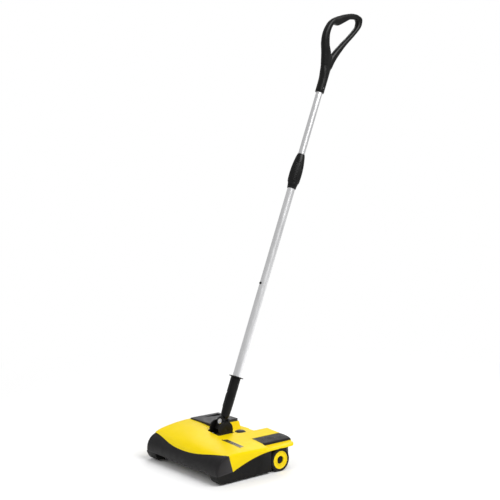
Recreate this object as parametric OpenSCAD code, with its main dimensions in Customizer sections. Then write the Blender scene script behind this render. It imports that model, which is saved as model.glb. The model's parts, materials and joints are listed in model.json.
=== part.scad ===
// Cordless walk-behind floor sweeper: a low housing on two rear wheels and two front rollers, with a
// motor-driven brush roller, a lift-out dust container, a lift-out battery, and a telescopic handle on
// a joint that pitches fore and aft and tilts sideways.
// X runs across the sweeper, the bumper faces -Y, +Z is up and the floor is z = 0.

/* [Housing] */
// Width over the side skirts
housing_w = 320; // [316:1:324]
// Radius of the rounded nose
nose_r = 39.5; // [39:0.1:40]
// Y of the rear edge of the hood, from the head's reference plane
hood_rear_y = 150; // [149:0.5:154]
// Top of the raised block over the dust container
block_top = 99.5; // [98:0.5:102]
// Wall thickness of the moulded shells
wall = 2.6; // [2.2:0.1:2.8]

/* [Brush drive] */
// Radius over the bristle tips
bristle_r = 32.5; // [31:0.1:32.8]
// Radius of the brush core
brush_core_r = 15; // [12:0.5:17]
// Radius on which the belt runs on the brush pulley
brush_pulley_r = 16.5; // [15:0.5:18]
// Radius on which the belt runs on the motor pulley
motor_pulley_r = 5.5; // [5:0.1:6.5]
// Diameter of the motor can
motor_d = 35; // [30:1:36]

/* [Wheels] */
// Diameter of the rear wheels
wheel_d = 61; // [59:0.5:62]
// Width of the rear wheels
wheel_w = 16; // [14:0.5:16]
// Diameter of the front rollers
roller_d = 14; // [12:0.5:15]

/* [Handle] */
// Lean of the handle to the rear, from upright
lean = 21.3; // [10:0.1:30]
// Outer diameter of the two lower tubes
lower_tube_d = 22; // [21.6:0.1:22.4]
// Outer diameter of the upper tube
upper_tube_d = 19; // [18.6:0.1:19.2]
// Distance from the pitch axis to the lower edge of the loop handle
handle_at = 1000; // [960:5:1010]
// Thickness of the loop handle across the sweeper
loop_w = 21; // [18:1:24]

/* [Hidden] */
$fn = 48;

half_w = housing_w / 2;
// gap left round a moving piece, and the gap of a running fit
gap = 0.4;
fit = 0.05;
// radius of every self-tapping screw
screw_r = 1.75;

// nose: an arc about this line carries both the bumper and the front of the hood
nose_y = -84;
nose_z = 33;
bumper_bottom_z = 25;
bumper_t = 3;
seam_mid_z = 58.5;
seam_end_z = nose_z + nose_r;
// lowest point of the hood's side, and the height its side edge reaches at the rear
tip_y = -71;
tip_z = 29;
side_seam_z = 61;
seam_run = 141;
badge_x0 = 44;
badge_y0 = -26;
badge_l = 90;
badge_bars = 7;

// chassis
skirt_z = 4;
floor_z = 5;
floor_t = 3;
floor_top = floor_z + floor_t;
recess_x = 143.6;
recess_front_y = 57;
chassis_rear_y = 147.4;
foot_in_right = 128;
foot_in_left = 118;
rear_wall_y = -24;
hood_screw_places = [[150, 40], [-150, 34], [66, 138], [-100, 138]];

// brush and drive
brush_y = -62;
brush_z = 33;
brush_x0 = -149;
brush_x1 = 139;
chamber_r = 38;
inner_wall_x = 140.5;
outer_wall_x = 152;
bush_r = 5.5;
shaft_r = 4;
motor_y = 8;
motor_z = 46;
motor_x0 = 70;
motor_x1 = 127;
pulley_x0 = 145.5;
pulley_x1 = 153.5;
belt_t = 1.8;

// wheels and rollers
wheel_y = 89.5;
wheel_z = wheel_d / 2;
wheel_x1 = 161;
wheel_x0 = wheel_x1 - wheel_w;
rim_r = 24;
cap_r = 10.5;
cap_x0 = 154.8;
axle_x0 = 139;
axle_x1 = 154;
axle_r = 4;
roller_y = -100;
roller_z = roller_d / 2;
roller_x0 = 133.3;
roller_x1 = 149.3;
roller_pin_r = 2;

// dust container, between the left wheel recess and a guide wall
block_x0 = -139;
block_x1 = -44;
block_y1 = 112;
box_x0 = -138;
box_x1 = -48;
box_y0 = 13;
box_y1 = 111;
box_z0 = 10;
mouth_z = 46;
lid_t = 4;
lid_y0 = box_y0 - 1.8;
recess_depth = 8;

// battery bay
bay_x0 = 88;
bay_x1 = 124.4;
bay_y0 = 49.6;
bay_y1 = 140.4;
latch_seat_y = bay_y1 - 14;
battery_z0 = 38;
pad_x1 = 136;
pad_y0 = 48;
pad_floor_z = 73;
pad_lip_z = 70;
pad_top_z = 80;

// electronics and foot switch
board_z = 40;
button_x = 9;
button_y = 74;
button_r = 15;
button_z0 = 68;
button_top = 84;
socket_x = 30;
socket_z = 30;
socket_bore_r = 2.8;

// joint
pitch_y = 14.3;
pitch_z = 95.2;
pocket_z = 80.2;
cheek_x0 = 17.8;
cheek_x1 = 22.8;
cheek_r = 23;
pitch_pin_r = 3.5;
barrel_r = 8.5;
roll_at = 18;
fork_y0 = 5.4;
fork_y1 = 11.5;
fork_r = 14.5;
tongue_y = 5;
tongue_r = 9;
roll_pin_r = 3.2;
roll_head_r = 7.5;
joint_screw_places = [[-12, -6], [12, -6], [-12, 32], [12, 32]];

// handle stations, measured up the tube from the pitch axis
socket_at = 34;
socket_r = 13.5;
ring_at = 144.5;
ring_r = 20.5;
lower_at = 62;
middle_at = 420;
spigot_at = 372;
snap_at = 415;
clamp_at = 701;
seam_at = 719;
clamp_top = 807;
upper_at = 612;
upper_top = 1058;
tube_t = 1;
lower_r = lower_tube_d / 2;
upper_r = upper_tube_d / 2;
lower_bore = lower_r - tube_t;

// loop handle in the plane of the tube: [fore and aft, up from the handle's lower edge]
loop_outer = [[-13, 34], [-18.5, 63], [-34, 116], [-45, 143], [-49, 173], [-42, 203], [-20, 232],
    [24.5, 268.5], [62, 282], [79, 275.5], [80, 251], [66.5, 218], [42.5, 169], [23, 116], [14, 69],
    [13, 34]];
loop_inner = [[0, 122], [-18, 149], [-27.5, 182], [-20, 211], [-3, 217], [17, 239], [42.5, 261.5],
    [56, 266.5], [62.5, 241], [41.5, 200.5], [21, 164]];
sleeve_r = 13.7;
sleeve_h = 62;
rivet_at = 14;
rivet_r = 1.6;
loop_screw_places = [[-4, 84], [69, 262]];

// closed smooth curve through the points p, with k steps between neighbours
function curve(p, k) = let (n = len(p)) [
    for (i = [0 : n - 1], j = [0 : k - 1])
        let (a = p[(i + n - 1) % n], b = p[i], c = p[(i + 1) % n], d = p[(i + 2) % n], t = j / k)
        (2 * b + (c - a) * t + (2 * a - 5 * b + 4 * c - d) * t * t
            + (3 * b - a - 3 * c + d) * t * t * t) / 2];

// closed outline p moved towards its left by d, which is inwards when p runs anticlockwise
function inset_by(p, d) = let (n = len(p)) [
    for (i = [0 : n - 1])
        let (t = p[(i + 1) % n] - p[(i + n - 1) % n])
        p[i] + d * [t[1], -t[0]] / norm(t)];

// the origin is the middle of the floor under the whole object, handle included
handle_back = max([for (p = curve(loop_outer, 4))
    pitch_y + p[0] * cos(lean) + (p[1] + handle_at) * sin(lean)]);
head_shift = -(nose_y - nose_r + handle_back) / 2;

// a point on the nose arc, its angle counted up from straight ahead
function nose(a, r) = [nose_y - r * cos(a), nose_z + r * sin(a)];
nose_low = asin((bumper_bottom_z - nose_z) / nose_r);
nose_foot = asin((skirt_z - nose_z) / nose_r);
function nose_arc(a0, a1, r, n = 12) = [for (i = [0 : n]) nose(a0 + (a1 - a0) * i / n, r)];

// height of the seam between bumper and hood, across the front
function seam(x) = seam_mid_z
    + (seam_end_z - seam_mid_z) * pow(sin(90 * pow(min(abs(x) / half_w, 1), 1.15)), 2);
// height of the hood's lower edge along the side
function side_seam(y) = tip_z
    + (side_seam_z - tip_z) * pow(sin(90 * min(max((y - tip_y) / seam_run, 0), 1)), 0.9);
side_edge = [for (i = [0 : 12]) let (y = tip_y + seam_run * i / 12) [y, side_seam(y)]];

module at_head() {
    translate([0, head_shift, 0]) children();
}

// z runs up the tube from the pitch axis, and -y is the front of the tube
module on_tube() {
    at_head() translate([0, pitch_y, pitch_z]) rotate([-lean, 0, 0]) children();
}

// a Y-Z outline extruded across the sweeper
module along_x(x0, x1) {
    translate([x0, 0, 0]) rotate([90, 0, 90]) linear_extrude(x1 - x0) children();
}

// an X-Z outline extruded fore and aft
module along_y(y0, y1) {
    translate([0, y1, 0]) rotate([90, 0, 0]) linear_extrude(y1 - y0) children();
}

module box(a, b) {
    translate(a) cube(b - a);
}

// round bars from a to b along one axis
module bar_x(x0, x1, r) {
    translate([x0, 0, 0]) rotate([0, 90, 0]) cylinder(r = r, h = x1 - x0);
}

module bar_y(y0, y1, r) {
    translate([0, y0, 0]) rotate([-90, 0, 0]) cylinder(r = r, h = y1 - y0);
}

module both_sides() {
    children();
    mirror([1, 0, 0]) children();
}

module pipe(z0, z1, r, bore) {
    translate([0, 0, z0]) difference() {
        cylinder(r = r, h = z1 - z0);
        translate([0, 0, -1]) cylinder(r = bore, h = z1 - z0 + 2);
    }
}

// coil drawn as the closed sleeve that it fills
module coil(h, r, wire) {
    difference() {
        cylinder(r = r, h = h);
        translate([0, 0, -1]) cylinder(r = r - wire, h = h + 2);
    }
}

module screw(h, r) {
    cylinder(r = r, h = h);
    translate([0, 0, -2]) cylinder(r = 2 * r, h = 2);
}

// ---- housing ----

// outline of the housing seen from the side; i is the inset, and the block's side stands higher
function block_side(i) = concat(nose_arc(15, 50, nose_r - i, 5),
    [[-95, 74.5 - i], [-75, 81.5 - i], [-50, 87.5 - i], [-20, 94 - i], [0, 98 - i], [12, block_top - i],
    [block_y1 - i, block_top - i], [block_y1 + 9 - i, 68 - i], [hood_rear_y - i, 65 - i],
    [hood_rear_y - i, 30], [-95, 30]]);
function open_side(i) = concat(nose_arc(15, 50, nose_r - i, 5),
    [[-95, 74.5 - i], [-75, 81.5 - i], [-50, 86 - i], [-20, 88 - i], [142 - i, 88 - i],
    [hood_rear_y - i, 76 - i], [hood_rear_y - i, 30], [-95, 30]]);
// outline seen from the front
function crown(i) = [[-half_w + i, 20], [-half_w + i, 76 - i], [-159 + i, 85 - i], [-156 + i, 92 - i],
    [-150 + i, 97 - i], [block_x0, block_top - i], [-100, block_top - i], [-60, 98 - i], [-30, 93 - i],
    [0, 87 - i], [30, 83.5 - i], [88, 80.5 - i], [135, 78 - i], [146 - i, 76.5 - i],
    [154 - i, 74.5 - i], [158.5 - i, 72 - i], [half_w - i, 69 - i], [half_w - i, 20]];
// valley behind the joint, between the block and the battery
function valley(i) = [[46, 120], [46, 83 - i], [60, 76.5 - i], [90, 73 - i], [140, 65 - i],
    [160, 63 - i], [160, 120]];

module plan(i) {
    r = 25 - i;
    linear_extrude(150) {
        translate([-half_w + i, -130]) square([housing_w - 2 * i, 130 + hood_rear_y - 25]);
        translate([-half_w + 25, -130]) square([housing_w - 50, 130 + hood_rear_y - i]);
        for (s = [-1, 1])
            translate([s * (half_w - 25), hood_rear_y - 25]) circle(r);
    }
}

// solid body of the hood, inset by i; over is how far the two halves run past the block's wall
module hood_form(i, over) {
    intersection() {
        union() {
            along_x(-half_w + i, block_x1 - i) polygon(block_side(i));
            difference() {
                along_x(block_x1 - over, half_w - i) polygon(open_side(i));
                along_x(block_x1 - over - 1, 22 + i) polygon(valley(i));
                // step beside the battery pad
                box([pad_x1 + 1 - i, pad_y0 - 1 - i, 67 - i], [half_w + 1, hood_rear_y + 1, 120]);
            }
        }
        along_y(-130, hood_rear_y) polygon(crown(i));
        plan(i);
    }
}

// space in front of and below the hood
module below_hood() {
    along_y(-140, nose_y) polygon(concat(
        [for (i = [0 : 24]) let (x = -half_w - 2 + i * (housing_w + 4) / 24) [x, seam(x)]],
        [[half_w + 2, -10], [-half_w - 2, -10]]));
    along_x(-half_w - 2, half_w + 2) polygon(concat([[nose_y, seam_end_z]], side_edge,
        [[hood_rear_y + 5, side_seam_z], [hood_rear_y + 5, -10], [nose_y, -10]]));
}

module top_hood() {
    color("gold") at_head() difference() {
        union() {
            difference() {
                hood_form(0, 0);
                hood_form(wall, 6);
            }
            // floor and rim of the joint's pocket
            intersection() {
                box([-28, -16, pocket_z - wall], [28, 44, 100]);
                hood_form(0, 0);
            }
            // lip under the battery pad, round the bay
            intersection() {
                difference() {
                    box([bay_x0 - 3, pad_y0 - 3, pad_lip_z - wall], [pad_x1 + 3, hood_rear_y, pad_top_z]);
                    box([bay_x0, bay_y0, 60], [bay_x1, bay_y1, 90]);
                }
                hood_form(0, 0);
            }
            // collar that guides the foot switch
            translate([button_x, button_y, 66]) cylinder(r = button_r + 2.4, h = 8);
        }
        below_hood();
        box([-25, -13, pocket_z], [25, 41, 110]);
        box([box_x0 - 0.5, lid_y0 - 0.5, 60], [box_x1 + 0.5, box_y1 + 0.5, 110]);
        translate([button_x, button_y, 60]) cylinder(r = button_r + gap, h = 40);
        box([bay_x0 - gap, pad_y0 - gap, pad_floor_z], [pad_x1 + 30, hood_rear_y + 1, 90]);
        box([pad_x1 - 6, pad_y0 - gap, pad_lip_z - gap], [pad_x1 + 30, hood_rear_y + 1, 90]);
        box([bay_x0, bay_y0, 60], [bay_x1, bay_y1, 90]);
        for (p = joint_screw_places)
            translate([p[0], p[1], 60]) cylinder(r = screw_r, h = 30);
        // notch in the rear wall that a finger reaches the battery latch through
        box([bay_x0 + 6, hood_rear_y - 12, 40], [bay_x1 - 6, hood_rear_y + 2, 90]);
    }
}

module front_bumper() {
    color([0.2, 0.19, 0.2]) at_head() difference() {
        union() {
            along_x(-half_w, half_w) polygon(concat(nose_arc(nose_low, 90, nose_r, 24),
                nose_arc(90, nose_low, nose_r - bumper_t, 24)));
            for (x = [-half_w, half_w - bumper_t])
                along_x(x, x + bumper_t) polygon(concat(nose_arc(nose_low, 90, nose_r, 24),
                    [[tip_y - 0.2, tip_z]]));
            // central lip under the nose
            along_x(-58, 62) polygon(concat(nose_arc(nose_low - 5, nose_low, nose_r, 3),
                nose_arc(nose_low, nose_low - 5, nose_r - bumper_t, 3)));
        }
        along_y(-140, nose_y) polygon(concat(
            [for (i = [0 : 24]) let (x = -half_w - 2 + i * (housing_w + 4) / 24) [x, seam(x)]],
            [[half_w + 2, 100], [-half_w - 2, 100]]));
    }
}

// printed strip on the hood, half a millimetre proud: a long bar, and slanted bars behind it
module hood_badge() {
    color([0.12, 0.12, 0.12]) at_head() intersection() {
        translate([0, 0, 70]) linear_extrude(20) {
            translate([badge_x0, badge_y0]) square([badge_l, 3.4]);
            for (i = [0 : badge_bars - 1])
                translate([badge_x0 + 12 + i * 11, badge_y0 + 5])
                    polygon([[0, 0], [6.4, 0], [9.4, 9], [3, 9]]);
        }
        difference() {
            hood_form(-0.5, 0);
            hood_form(0, 0);
        }
    }
}

module hood_screws() {
    color("silver") at_head() for (p = hood_screw_places)
        translate([p[0], p[1], floor_z + 2]) screw(20, screw_r);
}

module chassis_wall(i) {
    polygon([[recess_x - i, recess_front_y - wall], [recess_x - i, 126 - i / 2],
        [126 - i / 2, chassis_rear_y - i], [-126 + i / 2, chassis_rear_y - i],
        [-recess_x + i, 126 - i / 2], [-recess_x + i, recess_front_y - wall]]);
}

module chassis_shell() {
    // side skirts, with the nose of the feet at their front
    for (x = [-half_w, half_w - wall])
        along_x(x, x + wall) polygon(concat([[tip_y, tip_z]], nose_arc(nose_low, nose_foot, nose_r, 6),
            [[recess_front_y, skirt_z + 2], [recess_front_y, side_seam(recess_front_y)]],
            [for (i = [10 : -1 : 1]) side_edge[i]]));
    // curved fronts of the feet
    for (x = [[foot_in_right, half_w - wall], [-half_w + wall, -foot_in_left]])
        along_x(x[0], x[1]) polygon(concat(nose_arc(nose_low, nose_foot, nose_r, 8),
            nose_arc(nose_foot, nose_low, nose_r - bumper_t, 8)));
    // ribs in the feet that carry the roller pins
    for (x = [foot_in_right, outer_wall_x, -foot_in_right - wall, -outer_wall_x - wall,
        -foot_in_left - wall])
        along_x(x, x + wall) polygon(concat(nose_arc(nose_low, nose_foot, nose_r - bumper_t, 8),
            [[-91, skirt_z], [-91, 12], [-104, bumper_bottom_z]]));
    // floor behind the brush
    box([-half_w + wall, rear_wall_y + 2, floor_z], [half_w - wall, recess_front_y, floor_top]);
    translate([0, 0, floor_z]) linear_extrude(floor_t) chassis_wall(0);
    // rear walls and wheel recesses
    translate([0, 0, floor_z]) linear_extrude(side_seam_z - floor_z) difference() {
        chassis_wall(0);
        chassis_wall(wall);
        translate([-recess_x + wall, 0]) square([2 * (recess_x - wall), 120]);
    }
    both_sides() box([recess_x - wall, recess_front_y - wall, floor_z],
        [half_w, recess_front_y, side_seam(recess_front_y) - 1]);
}

module chassis_inside() {
    // end walls of the brush chamber
    for (x = [-outer_wall_x - wall, inner_wall_x])
        intersection() {
            translate([0, brush_y, brush_z]) bar_x(x, x + wall, chamber_r);
            box([x, brush_y - chamber_r, skirt_z + 1], [x + wall, brush_y + chamber_r, 90]);
        }
    box([inner_wall_x, brush_y, floor_top], [inner_wall_x + wall, 34, 66]);
    // curved cover over the brush
    difference() {
        translate([0, brush_y, brush_z]) bar_x(-outer_wall_x, inner_wall_x, chamber_r);
        translate([0, brush_y, brush_z]) bar_x(-outer_wall_x - 1, inner_wall_x + 1, chamber_r - wall);
        box([-half_w, -120, -20], [half_w, 0, 52]);
    }
    // rear of the chamber beside the container, and the ramp up to its mouth
    box([block_x1, rear_wall_y, floor_z], [inner_wall_x, rear_wall_y + wall, 52]);
    along_x(block_x0, block_x1 - wall)
        polygon([[rear_wall_y, floor_z], [rear_wall_y, floor_z + 1.5], [10, 12], [10, floor_z]]);
    // guides for the dust container
    box([block_x1 - wall, rear_wall_y, floor_top], [block_x1, 114, 60]);
    box([block_x0 - 4, 112, floor_top], [block_x1, 112 + wall, 60]);
    // battery bay on two ribs
    difference() {
        box([bay_x0 - wall, bay_y0 - wall, battery_z0 - 3], [bay_x1 + wall, bay_y1 + wall, 66]);
        box([bay_x0, bay_y0, battery_z0 - 0.5], [bay_x1, bay_y1, 90]);
        box([bay_x0 + 6, bay_y1 - 1, 54], [bay_x1 - 6, bay_y1 + 9, 90]);
    }
    for (x = [bay_x0 - wall, bay_x1])
        box([x, bay_y0 - wall, floor_top], [x + wall, 134, battery_z0 - 3]);
    // motor cradle
    for (x = [motor_x0 + 6, motor_x1 - 12])
        box([x, motor_y - 20, floor_top], [x + 5, motor_y + 20, motor_z]);
    // pedestal under the joint
    difference() {
        box([-24, -8, floor_top], [24, 36, pocket_z - wall - 0.2]);
        box([-21, -5, floor_top - 1], [21, 33, pocket_z - wall - 3.4]);
    }
    // axle bosses, board posts and hood screw bosses
    both_sides() translate([0, wheel_y, wheel_z]) bar_x(axle_x0, recess_x + 1, 9);
    for (x = [-14, 44], y = [60, 110])
        translate([x, y, floor_top]) cylinder(r = 3, h = board_z - floor_top);
    for (p = hood_screw_places)
        translate([p[0], p[1], floor_top]) cylinder(r = 4.5, h = 50);
}

module chassis() {
    color([0.12, 0.12, 0.115]) at_head() difference() {
        union() {
            chassis_shell();
            chassis_inside();
        }
        translate([0, brush_y, brush_z]) bar_x(-half_w - 1, pulley_x0, bush_r);
        translate([0, motor_y, motor_z]) bar_x(motor_x0 - 1, motor_x1, motor_d / 2);
        translate([0, motor_y, motor_z]) bar_x(inner_wall_x - 1, pulley_x0, 7);
        both_sides() translate([0, wheel_y, wheel_z]) bar_x(axle_x0 - 1, recess_x + 2, axle_r);
        both_sides() translate([0, roller_y, roller_z])
            bar_x(foot_in_right - 1, outer_wall_x + wall + 1, roller_pin_r);
        translate([socket_x, 0, socket_z]) bar_y(chassis_rear_y - wall - 1, chassis_rear_y + 1, 6);
        for (p = hood_screw_places) {
            translate([p[0], p[1], floor_z - 1]) cylinder(r = screw_r, h = 30);
            translate([p[0], p[1], floor_z - 1]) cylinder(r = 2 * screw_r, h = 3);
        }
        for (p = joint_screw_places)
            translate([p[0], p[1], 60]) cylinder(r = screw_r, h = 30);
    }
}

// ---- brush and drive ----

module brush_bushings() {
    color("peru") at_head() translate([0, brush_y, brush_z]) difference() {
        union() {
            bar_x(-outer_wall_x - wall, -outer_wall_x, bush_r);
            bar_x(inner_wall_x, inner_wall_x + wall, bush_r);
        }
        bar_x(-half_w, half_w, shaft_r + fit);
    }
}

module brush_core() {
    color([0.25, 0.25, 0.27]) at_head() translate([0, brush_y, brush_z]) {
        difference() {
            bar_x(brush_x0, brush_x1, brush_core_r);
            for (row = [0 : 3], k = [0 : 13])
                rotate([row * 90 + k * 9, 0, 0]) translate([brush_x0 + 11 + k * 20.4, 0, 0])
                    cylinder(r = 2.6, h = brush_core_r + 1);
        }
        bar_x(-outer_wall_x - wall + 0.2, brush_x0, shaft_r);
        bar_x(brush_x1, pulley_x1 + 1.5, shaft_r);
    }
}

module brush_bristles() {
    color([0.1, 0.1, 0.1]) at_head() translate([0, brush_y, brush_z])
        for (row = [0 : 3], k = [0 : 13])
            rotate([row * 90 + k * 9, 0, 0]) translate([brush_x0 + 11 + k * 20.4, 0, 7])
                cylinder(r = 2.6, h = bristle_r - 7.1);
}

module brush_pulley() {
    color("dimgray") at_head() translate([0, brush_y, brush_z]) difference() {
        union() {
            bar_x(pulley_x0, pulley_x1, brush_pulley_r - 0.3);
            bar_x(pulley_x0, pulley_x0 + 1, brush_pulley_r + 2.4);
        }
        bar_x(pulley_x0 - 1, pulley_x1 + 1, shaft_r);
        for (a = [0 : 60 : 300])
            rotate([a, 0, 0]) translate([0, 0, 10]) bar_x(pulley_x0 - 1, pulley_x1 + 1, 3);
    }
}

module motor_can() {
    color("silver") at_head() translate([0, motor_y, motor_z]) difference() {
        bar_x(motor_x0, motor_x1, motor_d / 2);
        bar_x(motor_x0 + 2, motor_x1 - 2, motor_d / 2 - 1.6);
        bar_x(motor_x0 - 1, motor_x1 + 1, 2 + fit);
    }
}

module motor_bracket() {
    color("gray") at_head() difference() {
        for (x = [motor_x0 + 6, motor_x1 - 12])
            translate([0, motor_y, motor_z]) bar_x(x, x + 5, motor_d / 2 + 2);
        translate([0, motor_y, motor_z]) bar_x(motor_x0, motor_x1, motor_d / 2);
        box([motor_x0, motor_y - 30, 0], [motor_x1, motor_y + 30, motor_z]);
    }
}

module motor_rotor() {
    color("sienna") at_head() translate([0, motor_y, motor_z]) {
        bar_x(motor_x0 + 8, motor_x1 - 10, 13);
        bar_x(motor_x0 + 3, pulley_x1 + 1, 2);
    }
}

module motor_pulley() {
    color("dimgray") at_head() translate([0, motor_y, motor_z]) difference() {
        union() {
            bar_x(pulley_x0, pulley_x1, motor_pulley_r - 0.3);
            bar_x(pulley_x0, pulley_x0 + 1, motor_pulley_r + 2.4);
        }
        bar_x(pulley_x0 - 1, pulley_x1 + 1, 2);
    }
}

function arc(centre, r, a0, a1, n) = [
    for (i = [0 : n]) let (a = a0 + (a1 - a0) * i / n) centre + r * [cos(a), sin(a)]];

// outline of a band stretched over the two pulleys, in the Y-Z plane
module band(r_brush, r_motor) {
    across = [motor_y - brush_y, motor_z - brush_z];
    turn = atan2(across[1], across[0]);
    open = acos((r_brush - r_motor) / norm(across));
    polygon(concat(arc([motor_y, motor_z], r_motor, turn - open, turn + open, 16),
        arc([brush_y, brush_z], r_brush, turn + open, turn + 360 - open, 28)));
}

module drive_belt() {
    color([0.08, 0.08, 0.08]) at_head() difference() {
        along_x(pulley_x0 + 1.4, pulley_x1 - 0.6) band(brush_pulley_r + belt_t, motor_pulley_r + belt_t);
        along_x(pulley_x0, pulley_x1) band(brush_pulley_r, motor_pulley_r);
    }
}

// ---- electrics ----

module circuit_board() {
    color("darkgreen") at_head() {
        box([-20, 54, board_z], [50, 116, board_z + 1.6]);
        for (x = [-8, 8])
            translate([x, 100, board_z + 1.6]) cylinder(r = 5, h = 14);
        box([24, 60, board_z + 1.6], [42, 74, board_z + 7]);
    }
}

module micro_switch() {
    color([0.15, 0.15, 0.17]) at_head() {
        box([button_x - 10, button_y - 3, board_z + 1.6], [button_x + 10, button_y + 3, board_z + 11]);
        translate([button_x, button_y, board_z + 11]) cylinder(r = 1.5, h = 2);
    }
}

module foot_switch() {
    color([0.2, 0.2, 0.21]) at_head() translate([button_x, button_y, 0]) {
        translate([0, 0, button_z0]) cylinder(r = button_r, h = 10);
        intersection() {
            translate([0, 0, button_z0 + 10]) cylinder(r = button_r, h = 10);
            translate([0, 0, button_top - 26]) sphere(r = 26);
        }
        translate([0, 0, board_z + 18]) cylinder(r = 3, h = button_z0 - board_z - 18);
    }
}

module foot_switch_spring() {
    color("silver") at_head() translate([button_x, button_y, board_z + 11])
        coil(button_z0 - board_z - 11, 4.6, 1);
}

module charging_socket() {
    color([0.1, 0.1, 0.1]) at_head() translate([socket_x, 0, socket_z]) difference() {
        union() {
            bar_y(chassis_rear_y - 14, chassis_rear_y + 0.8, 6);
            bar_y(chassis_rear_y, chassis_rear_y + 0.8, 7.5);
        }
        bar_y(chassis_rear_y - 10, chassis_rear_y + 2, socket_bore_r);
    }
}

module battery_pack() {
    color([0.16, 0.16, 0.17]) at_head() difference() {
        box([bay_x0 + gap, bay_y0 + gap, battery_z0], [bay_x1 - gap, bay_y1 - gap, pad_floor_z + 1]);
        box([bay_x0 + 7, latch_seat_y, 56], [bay_x1 - 7, bay_y1 + 1, 70]);
    }
}

module battery_pad() {
    color([0.13, 0.13, 0.13]) at_head() along_y(pad_y0, hood_rear_y - 2) polygon([
        [bay_x0, pad_floor_z + 1], [bay_x0, pad_top_z - 1.4], [bay_x0 + 1.4, pad_top_z],
        [bay_x0 + 26, pad_top_z - 1], [bay_x0 + 40, pad_top_z - 3], [pad_x1 - 1, pad_top_z - 6],
        [pad_x1, pad_top_z - 8], [pad_x1, pad_lip_z], [pad_x1 - 3.5, pad_lip_z],
        [pad_x1 - 5, pad_floor_z + 1]]);
}

module battery_contacts() {
    color("gold") at_head() for (x = [98, 106, 114])
        box([x - 1.5, bay_y0 + 12, battery_z0 - 0.5], [x + 1.5, bay_y0 + 20, battery_z0 - 0.1]);
}

module battery_latch() {
    color([0.45, 0.45, 0.46]) at_head() {
        box([bay_x0 + 8, bay_y1 - 5, 57], [bay_x1 - 8, bay_y1 + 2.2, 69]);
        for (z = [59, 62.2, 65.4])
            box([bay_x0 + 9, bay_y1 + 2.2, z], [bay_x1 - 9, bay_y1 + 3, z + 1.4]);
    }
}

module latch_spring() {
    color("silver") at_head() translate([(bay_x0 + bay_x1) / 2, latch_seat_y, 63])
        rotate([-90, 0, 0]) coil(bay_y1 - 5 - latch_seat_y, 3.5, 0.8);
}

// ---- dust container ----

module dust_container() {
    color([0.35, 0.35, 0.37]) at_head() difference() {
        box([box_x0, box_y0, box_z0], [box_x1, box_y1, block_top - lid_t]);
        box([box_x0 + 2, box_y0 + 2, box_z0 + 2], [box_x1 - 2, box_y1 - 2, block_top]);
        // mouth that faces the brush
        box([box_x0 + 6, box_y0 - 1, box_z0 + 5], [box_x1 - 6, box_y0 + 3, mouth_z]);
    }
}

module container_lid() {
    color([0.3, 0.3, 0.32]) at_head() difference() {
        union() {
            box([box_x0, lid_y0, block_top - lid_t], [box_x1, box_y1, block_top + 0.3]);
            box([box_x0 + 2.1, box_y0 + 2.1, block_top - lid_t - 9],
                [box_x1 - 2.1, box_y1 - 2.1, block_top - lid_t]);
        }
        // hollow under the lid, round the underside of the finger recess
        box([box_x0 + 36, box_y0 + 4, 0], [box_x1 - 4, box_y1 - 4, block_top - lid_t]);
        box([box_x0 + 4, box_y0 + 4, 0], [box_x0 + 37, box_y0 + 24, block_top - lid_t]);
        // finger recess, a long wedge that widens to the rear
        translate([0, 0, block_top - recess_depth]) linear_extrude(2 * recess_depth)
            polygon([[box_x0 + 20, 42], [box_x0 + 34, 100], [box_x0 + 10, 100]]);
    }
}

module container_seal() {
    color([0.05, 0.05, 0.05]) at_head() difference() {
        box([box_x0 + 3, box_y0 - 1.6, box_z0 + 2], [box_x1 - 3, box_y0, mouth_z + 3]);
        box([box_x0 + 6, box_y0 - 3, box_z0 + 5], [box_x1 - 6, box_y0 + 1, mouth_z]);
    }
}

// ---- wheels ----

module wheel_axles() {
    color("silver") at_head() both_sides() translate([0, wheel_y, wheel_z]) difference() {
        bar_x(axle_x0, axle_x1, axle_r);
        difference() {
            bar_x(151.6, 152.8, axle_r + 1);
            bar_x(151.6, 152.8, axle_r - 0.8);
        }
    }
}

module wheel_hub() {
    color("gold") at_head() translate([0, wheel_y, wheel_z]) difference() {
        bar_x(wheel_x0 + 0.6, wheel_x1 - 0.6, rim_r);
        bar_x(cap_x0 - 0.2, wheel_x1, cap_r);
        bar_x(wheel_x0, wheel_x1, axle_r + fit);
        difference() {
            bar_x(wheel_x1 - 2.2, wheel_x1, rim_r - 2);
            bar_x(wheel_x1 - 2.3, wheel_x1, cap_r + 2);
        }
        difference() {
            bar_x(wheel_x0, wheel_x0 + 8, rim_r - 3);
            bar_x(wheel_x0 - 1, wheel_x0 + 9, 8);
        }
        bar_x(150, wheel_x1, 6);
    }
}

module wheel_tyre() {
    color([0.08, 0.08, 0.08]) at_head() translate([0, wheel_y, wheel_z]) rotate([0, 90, 0])
        rotate_extrude() polygon([[rim_r, wheel_x0 + 0.6], [wheel_z - 2, wheel_x0],
            [wheel_z - 0.5, wheel_x0 + 1], [wheel_z, wheel_x0 + 3], [wheel_z, wheel_x1 - 3],
            [wheel_z - 0.5, wheel_x1 - 1], [wheel_z - 2, wheel_x1], [rim_r, wheel_x1 - 0.6]]);
}

module wheel_cap() {
    color([0.15, 0.15, 0.15]) at_head() translate([0, wheel_y, wheel_z]) {
        bar_x(cap_x0, wheel_x1 - 3.4, cap_r - 0.02);
        bar_x(wheel_x1 - 3.4, wheel_x1 - 2.6, 3);
    }
}

module wheel_hub_left() {
    mirror([1, 0, 0]) wheel_hub();
}

module wheel_hub_right() {
    wheel_hub();
}

module wheel_tyre_left() {
    mirror([1, 0, 0]) wheel_tyre();
}

module wheel_tyre_right() {
    wheel_tyre();
}

module wheel_cap_left() {
    mirror([1, 0, 0]) wheel_cap();
}

module wheel_cap_right() {
    wheel_cap();
}

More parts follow.
